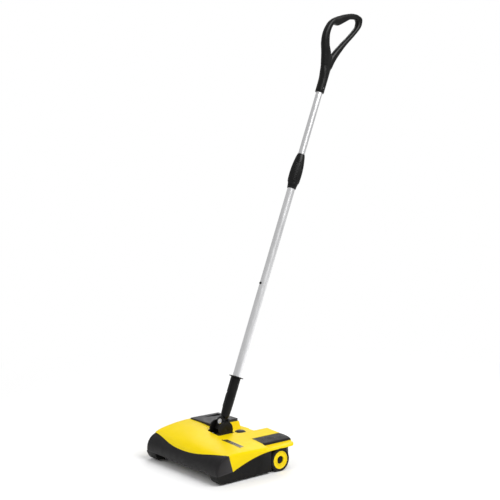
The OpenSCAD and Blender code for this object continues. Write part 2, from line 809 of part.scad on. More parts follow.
module front_roller() {
    color([0.1, 0.1, 0.1]) at_head() translate([0, roller_y, roller_z]) difference() {
        bar_x(roller_x0, roller_x1, roller_d / 2);
        bar_x(roller_x0 - 1, roller_x1 + 1, roller_pin_r + fit);
    }
}

module front_roller_left() {
    mirror([1, 0, 0]) front_roller();
}

module front_roller_right() {
    front_roller();
}

module roller_pins() {
    color("silver") at_head() both_sides() translate([0, roller_y, roller_z])
        bar_x(foot_in_right, outer_wall_x + wall, roller_pin_r);
}

// ---- joint ----

module joint_base() {
    color([0.1, 0.1, 0.1]) at_head() difference() {
        union() {
            box([-24, -12, pocket_z], [24, 38, pocket_z + 3.4]);
            both_sides() {
                translate([0, pitch_y, pitch_z]) bar_x(cheek_x0, cheek_x1, cheek_r);
                box([cheek_x0, pitch_y - 22, pocket_z], [cheek_x1, pitch_y + 22, pitch_z - 6]);
            }
            // small foot block in front of the right cheek
            box([15.6, -12, pocket_z], [cheek_x1, -4, pocket_z + 9]);
        }
        translate([0, pitch_y, pitch_z]) bar_x(-30, 30, pitch_pin_r);
        box([-30, -40, 0], [30, 60, pocket_z]);
        // sweep of the fork between the cheeks
        translate([0, pitch_y, pitch_z]) bar_x(-cheek_x0, cheek_x0, 13.4);
        for (p = joint_screw_places)
            translate([p[0], p[1], 60]) cylinder(r = screw_r, h = 30);
    }
}

module joint_screws() {
    color("silver") at_head() for (p = joint_screw_places)
        translate([p[0], p[1], pocket_z + 3.4]) mirror([0, 0, 1]) screw(9, screw_r);
}

module pitch_pin() {
    color("silver") at_head() translate([0, pitch_y, pitch_z]) bar_x(-cheek_x1, cheek_x1, pitch_pin_r);
}

module joint_knuckle() {
    color([0.13, 0.13, 0.13]) on_tube() difference() {
        union() {
            bar_x(-cheek_x0 + gap, cheek_x0 - gap, barrel_r);
            for (y = [-fork_y1, fork_y0])
                translate([0, 0, roll_at]) bar_y(y, y + fork_y1 - fork_y0, fork_r);
            // webs from the barrel out to the fork plates
            box([-14, -fork_y1, -4], [14, -fork_y0, roll_at]);
            box([-14, fork_y0, -4], [14, fork_y1, roll_at]);
            box([-14, -fork_y1, -4], [14, fork_y1, 2]);
        }
        bar_x(-30, 30, pitch_pin_r + fit);
        translate([0, 0, roll_at]) bar_y(-30, 30, roll_pin_r);
    }
}

module roll_pin() {
    color("white") on_tube() translate([0, 0, roll_at]) {
        bar_y(-fork_y1, fork_y1 + 1, roll_pin_r);
        difference() {
            bar_y(-fork_y1 - 2.2, -fork_y1, roll_head_r);
            bar_y(-fork_y1 - 3, -fork_y1 - 1.2, 3);
        }
        difference() {
            bar_y(fork_y1, fork_y1 + 1.4, roll_head_r - 1);
            bar_y(fork_y1 - 1, fork_y1 + 2, roll_pin_r);
        }
    }
}

module handle_socket() {
    color([0.1, 0.1, 0.1]) on_tube() difference() {
        union() {
            translate([0, 0, roll_at]) bar_y(-tongue_y, tongue_y, tongue_r);
            box([-tongue_r, -tongue_y, roll_at], [tongue_r, tongue_y, socket_at + 1]);
            translate([0, 0, socket_at]) cylinder(r1 = socket_r - 1.5, r2 = socket_r, h = 30);
            translate([0, 0, socket_at + 30]) cylinder(r = socket_r, h = ring_at - socket_at - 30);
            // key rib with its notch, up the front
            box([-4, -socket_r - 1.6, socket_at + 26], [4, 0, socket_at + 62]);
            box([-4, -socket_r - 1.6, socket_at + 68], [4, 0, ring_at]);
        }
        translate([0, 0, roll_at]) bar_y(-30, 30, roll_pin_r + fit);
        translate([0, 0, lower_at]) cylinder(r = lower_r, h = 200);
    }
}

module socket_ring() {
    color([0.1, 0.1, 0.1]) on_tube() pipe(ring_at, ring_at + 3, ring_r, lower_r);
}

// ---- handle tubes ----

module lower_tube() {
    color("silver") on_tube() difference() {
        pipe(lower_at, middle_at, lower_r, lower_bore);
        translate([0, 0, snap_at]) bar_y(-30, 0, 3.6);
    }
}

module middle_tube() {
    color("silver") on_tube() difference() {
        union() {
            pipe(middle_at, clamp_at + 11, lower_r, lower_bore);
            pipe(spigot_at, middle_at + 1, lower_bore, lower_bore - tube_t);
        }
        translate([0, 0, snap_at]) bar_y(-30, 0, 3.6);
    }
}

module snap_button() {
    color([0.08, 0.08, 0.08]) on_tube() translate([0, 0, snap_at]) {
        bar_y(-lower_r - 3, -lower_r + 3.4, 3.2);
        bar_y(-lower_r + 3.4, -lower_r + 4.6, 4.4);
    }
}

module snap_spring() {
    color("silver") on_tube() translate([0, 0, snap_at]) {
        difference() {
            bar_y(-lower_r + 4.7, 7.6, 2.8);
            bar_y(-lower_r + 4, 8, 2);
        }
    }
}

module clamp_body() {
    color([0.1, 0.1, 0.1]) on_tube() difference() {
        union() {
            translate([0, 0, clamp_at]) cylinder(r1 = 12.4, r2 = 15, h = seam_at - clamp_at);
            translate([0, 0, seam_at]) cylinder(r = 12.6, h = 28);
        }
        translate([0, 0, clamp_at - 1]) cylinder(r = lower_r, h = 12);
        translate([0, 0, clamp_at - 2]) cylinder(r = upper_r + fit, h = 80);
    }
}

module clamp_collet() {
    color("ivory") on_tube() translate([0, 0, seam_at + 28.2]) difference() {
        cylinder(r1 = 13, r2 = 11.4, h = 22);
        translate([0, 0, -1]) cylinder(r = upper_r + fit, h = 30);
        box([-0.6, 0, 3], [0.6, 20, 30]);
    }
}

// twist grip of the clamp, with raised ribs along it
module clamp_collar() {
    color([0.12, 0.12, 0.12]) on_tube() difference() {
        translate([0, 0, seam_at + gap]) rotate_extrude() polygon([[13, 0], [16.4, 0],
            [17.2, 4], [18, 16], [18.1, 30], [17.4, 46], [15.8, 62], [13.4, 76],
            [11, clamp_top - seam_at - 2], [10.2, clamp_top - seam_at - gap],
            [upper_r + gap, clamp_top - seam_at - gap],
            [upper_r + gap, 54], [13.4, 51], [13.4, 28], [13, 27]]);
        for (a = [0 : 30 : 330])
            rotate([0, 0, a]) translate([18.6, 0, seam_at + 10]) cylinder(r = 1.5, h = 42);
    }
}

module upper_tube() {
    color("silver") on_tube() pipe(upper_at, upper_top, upper_r, upper_r - tube_t);
}

// ---- loop handle ----

module ring_outline(inset) {
    difference() {
        polygon(inset_by(curve(loop_outer, 4), inset));
        polygon(inset_by(curve(loop_inner, 4), -inset));
    }
}

// right half of the loop handle: a hollow half shell, parted in the middle plane
module half_loop() {
    on_tube() translate([0, 0, handle_at]) difference() {
        union() {
            cylinder(r = sleeve_r, h = sleeve_h);
            along_x(0, loop_w / 2) ring_outline(0);
        }
        box([-30, -60, -1], [0, 100, 300]);
        intersection() {
            along_x(-1, loop_w / 2 - wall) ring_outline(wall);
            box([-30, -60, upper_top - handle_at + 4], [30, 100, 300]);
        }
        translate([0, 0, -1]) cylinder(r = upper_r, h = upper_top - handle_at + 1);
        translate([0, 0, rivet_at]) bar_x(-20, 20, rivet_r);
        for (p = loop_screw_places)
            translate([0, p[0], p[1]]) bar_x(-20, 20, screw_r);
    }
}

module loop_shell_left() {
    color([0.1, 0.1, 0.1]) mirror([1, 0, 0]) half_loop();
}

module loop_shell_right() {
    color([0.1, 0.1, 0.1]) half_loop();
}

module loop_screws() {
    color("silver") on_tube() translate([0, 0, handle_at]) for (p = loop_screw_places)
        translate([-loop_w / 2 + 0.6, p[0], p[1]]) rotate([0, 90, 0]) cylinder(r = screw_r, h = loop_w - 3);
}

module handle_rivet() {
    color("dimgray") on_tube() translate([0, 0, handle_at + rivet_at]) both_sides()
        bar_x(upper_r, sleeve_r - 0.1, rivet_r);
}

chassis();
top_hood();
front_bumper();
hood_badge();
hood_screws();
brush_bushings();
motor_can();
motor_bracket();
motor_rotor();
motor_pulley();
drive_belt();
brush_core();
brush_bristles();
brush_pulley();
circuit_board();
micro_switch();
foot_switch();
foot_switch_spring();
charging_socket();
battery_pack();
battery_pad();
battery_contacts();
battery_latch();
latch_spring();
dust_container();
container_lid();
container_seal();
wheel_axles();
wheel_hub_left();
wheel_tyre_left();
wheel_cap_left();
wheel_hub_right();
wheel_tyre_right();
wheel_cap_right();
front_roller_left();
front_roller_right();
roller_pins();
joint_base();
joint_screws();
pitch_pin();
joint_knuckle();
roll_pin();
handle_socket();
socket_ring();
lower_tube();
middle_tube();
snap_button();
snap_spring();
clamp_body();
clamp_collet();
clamp_collar();
upper_tube();
loop_shell_left();
loop_shell_right();
loop_screws();
handle_rivet();
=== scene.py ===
import json
import random
from contextlib import contextmanager
from math import asin, copysign, cos, exp, hypot, pi, radians, sin, sqrt

import bmesh
import bpy
from mathutils import Matrix, Vector

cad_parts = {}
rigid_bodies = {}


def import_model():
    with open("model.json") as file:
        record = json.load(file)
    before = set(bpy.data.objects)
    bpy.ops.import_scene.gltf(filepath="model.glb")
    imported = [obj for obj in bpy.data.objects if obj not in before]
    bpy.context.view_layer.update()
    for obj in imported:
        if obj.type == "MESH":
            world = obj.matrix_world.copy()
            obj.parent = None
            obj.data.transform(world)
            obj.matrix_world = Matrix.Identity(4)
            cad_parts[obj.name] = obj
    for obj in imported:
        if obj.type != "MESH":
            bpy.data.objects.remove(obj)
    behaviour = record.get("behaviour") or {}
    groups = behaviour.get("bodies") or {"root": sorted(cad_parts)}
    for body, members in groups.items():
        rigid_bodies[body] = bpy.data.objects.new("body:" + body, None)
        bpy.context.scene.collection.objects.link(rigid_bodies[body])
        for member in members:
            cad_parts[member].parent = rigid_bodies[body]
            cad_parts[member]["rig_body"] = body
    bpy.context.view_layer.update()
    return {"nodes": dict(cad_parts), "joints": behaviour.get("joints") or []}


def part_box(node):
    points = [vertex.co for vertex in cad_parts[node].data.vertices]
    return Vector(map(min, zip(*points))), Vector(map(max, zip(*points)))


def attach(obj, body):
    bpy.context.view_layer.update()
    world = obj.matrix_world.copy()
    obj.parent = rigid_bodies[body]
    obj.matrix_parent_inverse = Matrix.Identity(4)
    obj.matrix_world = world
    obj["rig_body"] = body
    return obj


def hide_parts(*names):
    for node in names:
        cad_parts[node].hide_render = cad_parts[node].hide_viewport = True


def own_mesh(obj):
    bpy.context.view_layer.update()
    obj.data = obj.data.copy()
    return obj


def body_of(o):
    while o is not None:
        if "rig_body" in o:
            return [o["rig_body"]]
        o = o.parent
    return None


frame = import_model()

# ---- places
# Shapes are written in millimetres, in one of two local frames: the head's, whose Y is counted from
# its reference plane, and the tube's, whose origin is the pitch axis with z up the tube and -y in front.
bumper_lo, bumper_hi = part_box("front_bumper")
NOSE_Y, NOSE_Z, NOSE_R = -84.0, 33.0, 39.5
SHIFT = bumper_lo.y * 1000 - (NOSE_Y - NOSE_R)
HALF_W = bumper_hi.x * 1000
HEAD = Matrix.Translation((0, SHIFT / 1000, 0)) @ Matrix.Scale(0.001, 4)
joints = {j["name"]: j for j in frame["joints"]}
PITCH = Vector(joints["handle_pitch"]["pos_m"])
UP = Vector(joints["clamp_twist"]["axis"]).normalized()
BACK = Vector(joints["handle_tilt"]["axis"]).normalized()
TUBE = Matrix.Translation(PITCH) @ Matrix((Vector((1, 0, 0)), BACK, UP)).transposed().to_4x4() \
    @ Matrix.Scale(0.001, 4)


def shift(x, y, z, place=HEAD):
    """A local frame moved by some millimetres."""
    return place @ Matrix.Translation((x, y, z))


def head_box(node):
    lo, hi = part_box(node)
    inverse = HEAD.inverted()
    return inverse @ lo, inverse @ hi


# ---- camera
camera = bpy.data.objects.new("camera", bpy.data.cameras.new("camera"))
bpy.context.scene.collection.objects.link(camera)
camera.data.lens = 67.44
camera.data.sensor_width = 36
camera.location = HEAD @ Vector((1994.5, -1526.2, 750.8))
aim = HEAD @ Vector((0, 116.4, 579.5))
camera.rotation_euler = (aim - camera.location).to_track_quat("-Z", "Y").to_euler()
camera.data.clip_end = 50
bpy.context.scene.camera = camera


# ---- materials
def add_node(tree, kind, **inputs):
    """A new shader node with some of its inputs set."""
    node = tree.nodes.new("ShaderNode" + kind)
    for name, value in inputs.items():
        node.inputs[name.replace("_", " ")].default_value = value
    return node


def material(name, colour, rough, metallic=0.0, coat=0.0, grain=None, grain_depth=0.15, mottle=0.0,
             wear=0.0, wear_colour=None, stretch=(1, 1, 1), rough_vary=0.08, specular=0.5,
             scratches=0.0, dust=0.0, sheen=0.0):
    """Procedural material: colour mottling, roughness variation, fine grain as bump, worn edges, dust."""
    m = bpy.data.materials.new(name)
    m.use_nodes = True
    tree, links = m.node_tree, m.node_tree.links
    shader = tree.nodes["Principled BSDF"]
    for socket, value in (("Metallic", metallic), ("Coat Weight", coat), ("Coat Roughness", 0.12),
                          ("Specular IOR Level", specular), ("Sheen Weight", sheen)):
        shader.inputs[socket].default_value = value
    place = add_node(tree, "TexCoord")
    mapping = add_node(tree, "Mapping", Scale=stretch)
    links.new(place.outputs["Object"], mapping.inputs["Vector"])

    def noise(scale, detail=3.0):
        n = add_node(tree, "TexNoise", Scale=scale, Detail=detail)
        links.new(mapping.outputs["Vector"], n.inputs["Vector"])
        return n.outputs["Fac"]

    def ramp(source, lo, hi, from_min=0.3, from_max=0.7):
        r = add_node(tree, "MapRange", From_Min=from_min, From_Max=from_max, To_Min=lo, To_Max=hi)
        links.new(source, r.inputs["Value"])
        return r.outputs["Result"]

    def mix(factor, a, b):
        x = add_node(tree, "Mix")
        x.data_type = "RGBA"
        links.new(factor, x.inputs["Factor"])
        for value, socket in ((a, x.inputs["A"]), (b, x.inputs["B"])):
            if hasattr(value, "links"):
                links.new(value, socket)
            else:
                socket.default_value = (*value, 1)
        return x.outputs["Result"]

    dark = tuple(c * (1 - mottle) for c in colour)
    light = tuple(min(1, c * (1 + mottle) + 0.002) for c in colour)
    tone = mix(ramp(noise(28), 0, 1), dark, light)
    if scratches:
        tone = mix(ramp(noise(900, 1.0), 0, scratches, 0.62, 0.72), tone, tuple(c * 0.6 for c in colour))
    if wear:
        edge = add_node(tree, "NewGeometry").outputs["Pointiness"]
        tone = mix(ramp(edge, 0, wear, 0.52, 0.6), tone, wear_colour or light)
    if dust:
        height = add_node(tree, "SeparateXYZ")
        links.new(place.outputs["Object"], height.inputs["Vector"])
        speck = add_node(tree, "Math")
        speck.operation = "MULTIPLY"
        links.new(ramp(height.outputs["Z"], dust, 0, 0.0, 0.05), speck.inputs[0])
        links.new(ramp(noise(160, 6), 0, 1), speck.inputs[1])
        tone = mix(speck.outputs["Value"], tone, (0.17, 0.16, 0.14))
    links.new(tone, shader.inputs["Base Color"])
    smear = ramp(noise(60, 4), max(0.02, rough - rough_vary), rough + rough_vary)
    links.new(smear, shader.inputs["Roughness"])
    if grain:
        bump = add_node(tree, "Bump", Strength=grain_depth, Distance=0.0004)
        links.new(noise(grain, 2.0), bump.inputs["Height"])
        links.new(bump.outputs["Normal"], shader.inputs["Normal"])
    return m


YELLOW = (0.86, 0.64, 0.002)
WORN_YELLOW = (0.9, 0.71, 0.04)
LOOKS = {
    "hood_yellow": dict(
        colour=YELLOW, rough=0.36, specular=0.055, grain=900, grain_depth=0.05, mottle=0.015, wear=0.25,
        wear_colour=WORN_YELLOW, rough_vary=0.05),
    "wheel_yellow": dict(
        colour=YELLOW, rough=0.36, specular=0.15, grain=1200, grain_depth=0.06, mottle=0.03, wear=0.3,
        wear_colour=WORN_YELLOW),
    "bumper_grey": dict(
        colour=(0.011, 0.0103, 0.011), rough=0.48, grain=1500, grain_depth=0.22, mottle=0.12, wear=0.5,
        wear_colour=(0.07, 0.066, 0.07), dust=0.08, specular=0.17),
    "chassis_black": dict(
        colour=(0.0036, 0.0034, 0.0033), rough=0.48, grain=1700, grain_depth=0.28, mottle=0.15, wear=0.4,
        wear_colour=(0.035, 0.035, 0.035), dust=0.05, specular=0.13),
    "panel_grey": dict(
        colour=(0.0175, 0.017, 0.0188), rough=0.46, grain=1600, grain_depth=0.2, mottle=0.1, wear=0.4,
        wear_colour=(0.07, 0.07, 0.077), specular=0.2),
    "pad_black": dict(
        colour=(0.0062, 0.0058, 0.0062), rough=0.46, grain=1600, grain_depth=0.2, mottle=0.12, wear=0.4,
        wear_colour=(0.045, 0.044, 0.048), specular=0.17),
    "joint_black": dict(
        colour=(0.0034, 0.0034, 0.0036), rough=0.36, grain=1500, grain_depth=0.18, mottle=0.15, wear=0.5,
        wear_colour=(0.035, 0.035, 0.037), specular=0.18),
    "grip_black": dict(
        colour=(0.0028, 0.0028, 0.0027), rough=0.3, grain=1300, grain_depth=0.1, mottle=0.12, wear=0.35,
        wear_colour=(0.03, 0.03, 0.029), specular=0.22),
    "tube_aluminium": dict(
        colour=(0.82, 0.82, 0.83), rough=0.34, metallic=1.0, grain=2600, grain_depth=0.08, mottle=0.04,
        stretch=(1, 1, 0.03), scratches=0.1, rough_vary=0.06),
    "bright_steel": dict(
        colour=(0.68, 0.68, 0.69), rough=0.24, metallic=1.0, grain=2200, grain_depth=0.06, mottle=0.06,
        scratches=0.25),
    "spring_steel": dict(
        colour=(0.5, 0.5, 0.52), rough=0.3, metallic=1.0, mottle=0.1, scratches=0.35),
    "tyre_rubber": dict(
        colour=(0.009, 0.009, 0.009), rough=0.68, grain=1900, grain_depth=0.35, mottle=0.2, wear=0.4,
        wear_colour=(0.035, 0.034, 0.033), dust=0.15, specular=0.14),
    "bristle_black": dict(
        colour=(0.014, 0.014, 0.016), rough=0.38, mottle=0.3, sheen=0.15),
    "core_grey": dict(
        colour=(0.15, 0.15, 0.16), rough=0.48, grain=1500, grain_depth=0.2, mottle=0.1, wear=0.3,
        wear_colour=(0.3, 0.3, 0.31)),
    "bronze": dict(
        colour=(0.5, 0.31, 0.13), rough=0.42, metallic=1.0, grain=2600, grain_depth=0.3, mottle=0.2),
    "contact_brass": dict(
        colour=(0.83, 0.62, 0.28), rough=0.22, metallic=1.0, mottle=0.08, scratches=0.4),
    "motor_iron": dict(
        colour=(0.2, 0.19, 0.18), rough=0.45, metallic=0.9, grain=400, grain_depth=0.3, mottle=0.15,
        stretch=(14, 1, 1)),
    "board_green": dict(
        colour=(0.01, 0.13, 0.045), rough=0.3, coat=0.5, grain=700, grain_depth=0.08, mottle=0.25),
    "battery_black": dict(
        colour=(0.02, 0.02, 0.022), rough=0.45, grain=1500, grain_depth=0.22, mottle=0.12, wear=0.4,
        wear_colour=(0.07, 0.07, 0.075)),
    "badge_black": dict(
        colour=(0.015, 0.014, 0.013), rough=0.35, coat=0.3, mottle=0.1),
    "natural_nylon": dict(
        colour=(0.74, 0.71, 0.6), rough=0.42, grain=1200, grain_depth=0.1, mottle=0.04),
    "copper_wire": dict(
        colour=(0.72, 0.3, 0.12), rough=0.3, metallic=1.0, mottle=0.12),
    "can_white": dict(
        colour=(0.58, 0.6, 0.62), rough=0.3, metallic=0.8, mottle=0.05),
}
M = {name: material(name, **look) for name, look in LOOKS.items()}


# ---- mesh tools
def new_object(name, data):
    obj = bpy.data.objects.new(name, data)
    bpy.context.scene.collection.objects.link(obj)
    return obj


@contextmanager
def editing(mesh):
    """The mesh as a bmesh, which is written back at the end."""
    bm = bmesh.new()
    bm.from_mesh(mesh)
    yield bm
    bm.to_mesh(mesh)
    bm.free()


def build(name, verts, faces, place, merge=True):
    mesh = bpy.data.meshes.new(name)
    mesh.from_pydata([place @ Vector(v) for v in verts], [], faces)
    with editing(mesh) as bm:
        if merge:
            bmesh.ops.remove_doubles(bm, verts=bm.verts, dist=2e-6)
            bmesh.ops.dissolve_degenerate(bm, dist=1e-6, edges=bm.edges)
        bmesh.ops.recalc_face_normals(bm, faces=bm.faces)
    return new_object(name, mesh)


def bake(obj):
    """Replaces the object's mesh by what its modifiers make of it."""
    graph = bpy.context.evaluated_depsgraph_get()
    mesh = bpy.data.meshes.new_from_object(obj.evaluated_get(graph))
    obj.modifiers.clear()
    obj.data = mesh
    return obj


def shade(obj, angle=38):
    for p in obj.data.polygons:
        p.use_smooth = True
    obj.data.set_sharp_from_angle(angle=radians(angle))
    return obj


def soften(obj, width, angle=32, segments=2, flat=0.4):
    """Merges coplanar faces, rounds the sharp edges and shades the rest smooth."""
    with editing(obj.data) as bm:
        bmesh.ops.dissolve_limit(bm, angle_limit=radians(flat), verts=bm.verts, edges=bm.edges)
    bevel = obj.modifiers.new("round", "BEVEL")
    bevel.width = width / 1000
    bevel.segments = segments
    bevel.limit_method = "ANGLE"
    bevel.angle_limit = radians(angle)
    bevel.use_clamp_overlap = True
    return shade(bake(obj))


def cut(obj, cutter):
    """Takes the cutter out of the object, and removes the cutter."""
    b = obj.modifiers.new("cut", "BOOLEAN")
    b.operation = "DIFFERENCE"
    b.solver = "EXACT"
    b.object = cutter
    bake(obj)
    bpy.data.objects.remove(cutter)
    return obj


def join(name, objs):
    """One object from several, each part keeping its own material."""
    for o in bpy.context.selected_objects:
        o.select_set(False)
    for o in objs:
        o.select_set(True)
    bpy.context.view_layer.objects.active = objs[0]
    bpy.ops.object.join()
    objs[0].name = name
    objs[0].data.name = name
    return objs[0]


def paint(obj, name):
    obj.data.materials.clear()
    obj.data.materials.append(M[name])
    return obj


def piece(obj, body, slot, node):
    """A finished piece: its material, the body that carries it, and the CAD node it stands for."""
    if not obj.data.materials:
        paint(obj, slot)
    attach(obj, body)
    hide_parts(node)
    return obj


def grid(rows, close_u=False, close_v=False):
    """Verts and quads of a grid of points; u runs along a row."""
    n, m = len(rows), len(rows[0])
    verts = [p for row in rows for p in row]
    faces = []
    for i in range(n if close_v else n - 1):
        for j in range(m if close_u else m - 1):
            a, b = i, (i + 1) % n
            c, d = j, (j + 1) % m
            faces.append((a * m + c, a * m + d, b * m + d, b * m + c))
    return verts, faces


def lathe(name, profile, place, axis="z", steps=48, closed=False):
    """Solid of revolution of (radius, along) pairs; a closed profile is a ring that misses the axis."""
    order = {"z": (0, 1, 2), "x": (2, 0, 1), "y": (0, 2, 1)}[axis]
    turns = [2 * pi * i / steps for i in range(steps)]
    rows = [[tuple((r * cos(a), r * sin(a), h)[k] for k in order) for a in turns] for r, h in profile]
    verts, faces = grid(rows, close_u=True, close_v=closed)
    return build(name, verts, faces, place)


def capped(name, rings, place):
    """Skin over rings of points, closed at both ends."""
    verts, faces = grid(rings, close_u=True)
    n = len(rings[0])
    faces += [tuple(range(n)), tuple(range((len(rings) - 1) * n, len(rings) * n))]
    return build(name, verts, faces, place)


def slab(name, upper, lower):
    """Solid between two grids of points, closed on all four sides."""
    verts, faces = grid(upper + lower[::-1], close_v=True)
    n, m = len(upper), len(upper[0])
    for j in (0, m - 1):
        for i in range(n - 1):
            under = 2 * n - 1 - i
            faces.append((i * m + j, (i + 1) * m + j, (under - 1) * m + j, under * m + j))
    return build(name, verts, faces, HEAD)


def prism(name, outline, z0, z1, place):
    """Outline in x-y raised from z0 to z1."""
    n = len(outline)
    verts = [(x, y, z0) for x, y in outline] + [(x, y, z1) for x, y in outline]
    faces = [tuple(range(n)), tuple(range(n, 2 * n))]
    faces += [(i, (i + 1) % n, n + (i + 1) % n, n + i) for i in range(n)]
    return build(name, verts, faces, place, merge=False)


def block(name, a, b, place):
    return prism(name, [(a[0], a[1]), (b[0], a[1]), (b[0], b[1]), (a[0], b[1])], a[2], b[2], place)


def rounded(x0, y0, x1, y1, r):
    """Outline of a rectangle with round corners."""
    out, steps = [], 5
    for cx, cy, start in ((x1 - r, y1 - r, 0), (x0 + r, y1 - r, 90), (x0 + r, y0 + r, 180),
                          (x1 - r, y0 + r, 270)):
        for i in range(steps + 1):
            a = radians(start + 90 * i / steps)
            out.append((cx + r * cos(a), cy + r * sin(a)))
    return out


def tube_along(name, path, radius, place):
    """Round wire along a path of vectors, closed at both ends."""
    sides, n = 8, len(path)
    rows = []
    normal = None
    for i, p in enumerate(path):
        t = path[min(i + 1, n - 1)] - path[max(i - 1, 0)]
        t.normalize()
        if normal is None:
            normal = t.orthogonal().normalized()
        normal = (normal - normal.dot(t) * t).normalized()
        other = t.cross(normal)
        rows.append([tuple(p + radius * (cos(2 * pi * k / sides) * normal + sin(2 * pi * k / sides) * other))
                     for k in range(sides)])
    return capped(name, rows, place)


def spring(name, start, along, length, radius, wire, turns, place):
    """Compression spring from a point, along a direction."""
    along = Vector(along).normalized()
    u = along.orthogonal().normalized()
    v = along.cross(u)
    count = int(turns * 20)
    path = []
    for i in range(count + 1):
        t = i / count
        flat = min(1.0, max(0.0, (t * turns - 1) / (turns - 2)))
        a = 2 * pi * turns * t
        path.append(Vector(start) + along * (wire + (length - 2 * wire) * flat)
                    + (radius - wire) * (cos(a) * u + sin(a) * v))
    return tube_along(name, path, wire, place)


def smooth_through(points):
    """Smooth curve y(x) through points, with no overshoot between them."""
    xs = [p[0] for p in points]
    ys = [p[1] for p in points]
    n = len(xs)
    slope = [(ys[i + 1] - ys[i]) / (xs[i + 1] - xs[i]) for i in range(n - 1)]
    tangent = [slope[0]] + [0.0] * (n - 2) + [slope[-1]]
    for i in range(1, n - 1):
        a, b = slope[i - 1], slope[i]
        tangent[i] = 0.0 if a * b <= 0 else 2 * a * b / (a + b)

    def value(x):
        if x <= xs[0]:
            return ys[0]
        if x >= xs[-1]:
            return ys[-1]
        i = max(k for k in range(n - 1) if xs[k] <= x)
        h = xs[i + 1] - xs[i]
        t = (x - xs[i]) / h
        return (ys[i] * (1 + 2 * t) * (1 - t) ** 2 + tangent[i] * h * t * (1 - t) ** 2
                + ys[i + 1] * t * t * (3 - 2 * t) + tangent[i + 1] * h * t * t * (t - 1))
    return value


def ease(a, b, x):
    t = min(1.0, max(0.0, (x - a) / (b - a)))
    return t * t * (3 - 2 * t)


def lower_of(a, b, k):
    """The smaller of two heights, with the crease between them rounded over k."""
    h = max(k - abs(a - b), 0) / k
    return min(a, b) - h * h * k / 4


def refine(node, slot, width=0.4, angle=32, segments=2):
    """A copy of a CAD node with rounded edges, which stands for it."""
    body = body_of(frame["nodes"][node])
    obj = new_object(node + "_finished", frame["nodes"][node].data.copy())
    with editing(obj.data) as bm:
        bmesh.ops.remove_doubles(bm, verts=bm.verts, dist=1e-6)
    if obj.data.has_custom_normals:
        obj.data.attributes.remove(obj.data.attributes["custom_normal"])
    soften(obj, width, angle, segments)
    paint(obj, slot)
    return piece(obj, body[0] if isinstance(body, (list, tuple)) else body, slot, node)


def shifted(base, *pairs):
    """Profile points whose second number counts from a base."""
    return [(r, base + h) for r, h in pairs]


def on_axle(node):
    """The head's frame, moved onto the line of a node that lies across it."""
    lo, hi = head_box(node)
    return shift(0, (lo.y + hi.y) / 2, (lo.z + hi.z) / 2)


def turned(node, section, place, body, slot, axis="z", steps=72, closed=False, sharp=30):
    """A turned piece that stands for a CAD node."""
    obj = lathe(node + "_finished", section, place, axis, steps, closed)
    return piece(shade(obj, sharp), body, slot, node)


# ---- hood
# the side seam climbs from the tip, low behind the nose, to its full height over this length
SIDE_Z, TIP_Y, TIP_Z, CLIMB = 61.0, -71.0, 29.0, 141
REAR_Y, CORNER = 150.0, 25.0
SKIN = 2.6
WALL_X = -44.0
POCKET_X, POCKET_Y0, POCKET_Y1, POCKET_Z = 25, -13, 41, 80.2
DECK_Y, DECK_Z = 112, 66
SHELF_X, SHELF_Y, SHELF_Z = 137, 47, 67.0


def seam(x):
    """Height of the line between hood and bumper, across the front."""
    return 58.5 + 14.0 * sin(radians(90 * min(abs(x) / HALF_W, 1) ** 1.15)) ** 2


def side_seam(y):
    """Height of the hood's lower edge along the side."""
    t = min(1.0, max(0.0, (y - TIP_Y) / CLIMB))
    return TIP_Z + (SIDE_Z - TIP_Z) * sin(radians(90 * t)) ** 0.9


def end_drop(d, r=4.5):
    """How far the surface falls away at distance d from the end of the housing."""
    return r - sqrt(max(0.0, r * r - (r - d) ** 2)) if d < r else 0.0


def nose(r, a):
    """A point (y, z) of the round nose, a radians above its foremost line."""
    return NOSE_Y - r * cos(a), NOSE_Z + r * sin(a)


nose_arc = [nose(NOSE_R, radians(a)) for a in range(0, 57, 4)]
brow = smooth_through(nose_arc + [(-98, 71.6), (-88, 76.3), (-75, 80.6), (-50, 87.2), (-20, 94.2),
                                  (0, 98.0), (12, 99.5), (112, 99.5)])
crown = smooth_through([(-160, 88), (-152, 95.5), (-139, 99.3), (-118, 99.4), (-95, 98.6), (-60, 95.6),
                        (-30, 91.7), (0, 87.5), (30, 84.2), (60, 81.9), (88, 80.4), (135, 77.6),
                        (150, 75.6), (160, 74)])
valley = smooth_through([(36, 92), (50, 82.5), (64, 77), (90, 73), (140, 65.5), (150, 64)])


def hood_height(x, y):
    """Height of the hood's top: its crown, the lower right side, the rear deck and the pad's shelf."""
    z = lower_of(crown(x), brow(y) + 0.8, 16)
    z -= 2.5 * ease(HALF_W - 60, HALF_W, x) * ease(-60, 30, y)
    if x > WALL_X:
        low = min(z, valley(y))
        side = 1 - ease(20, 38, x)
        z = z * (1 - side) + low * side
    elif y > DECK_Y:
        z = z + (DECK_Z - z) * ease(DECK_Y, DECK_Y + 9, y)
    if x > SHELF_X and y > SHELF_Y:
        z = SHELF_Z
    return z


def plan_point(x, y, half):
    """Squeezes a grid point into the round rear corners."""
    start, straight = REAR_Y - CORNER, HALF_W - CORNER
    if abs(x) <= straight or y <= start:
        return x
    r = CORNER - (HALF_W - half)
    w = straight + sqrt(max(0.0, r * r - (y - start) ** 2))
    squeeze = (w - HALF_W + CORNER) / (half - HALF_W + CORNER)
    return copysign(straight + (abs(x) - HALF_W + CORNER) * squeeze, x)


def spaced(a, b, step):
    n = max(1, round((b - a) / step))
    return [a + (b - a) * i / n for i in range(n)]


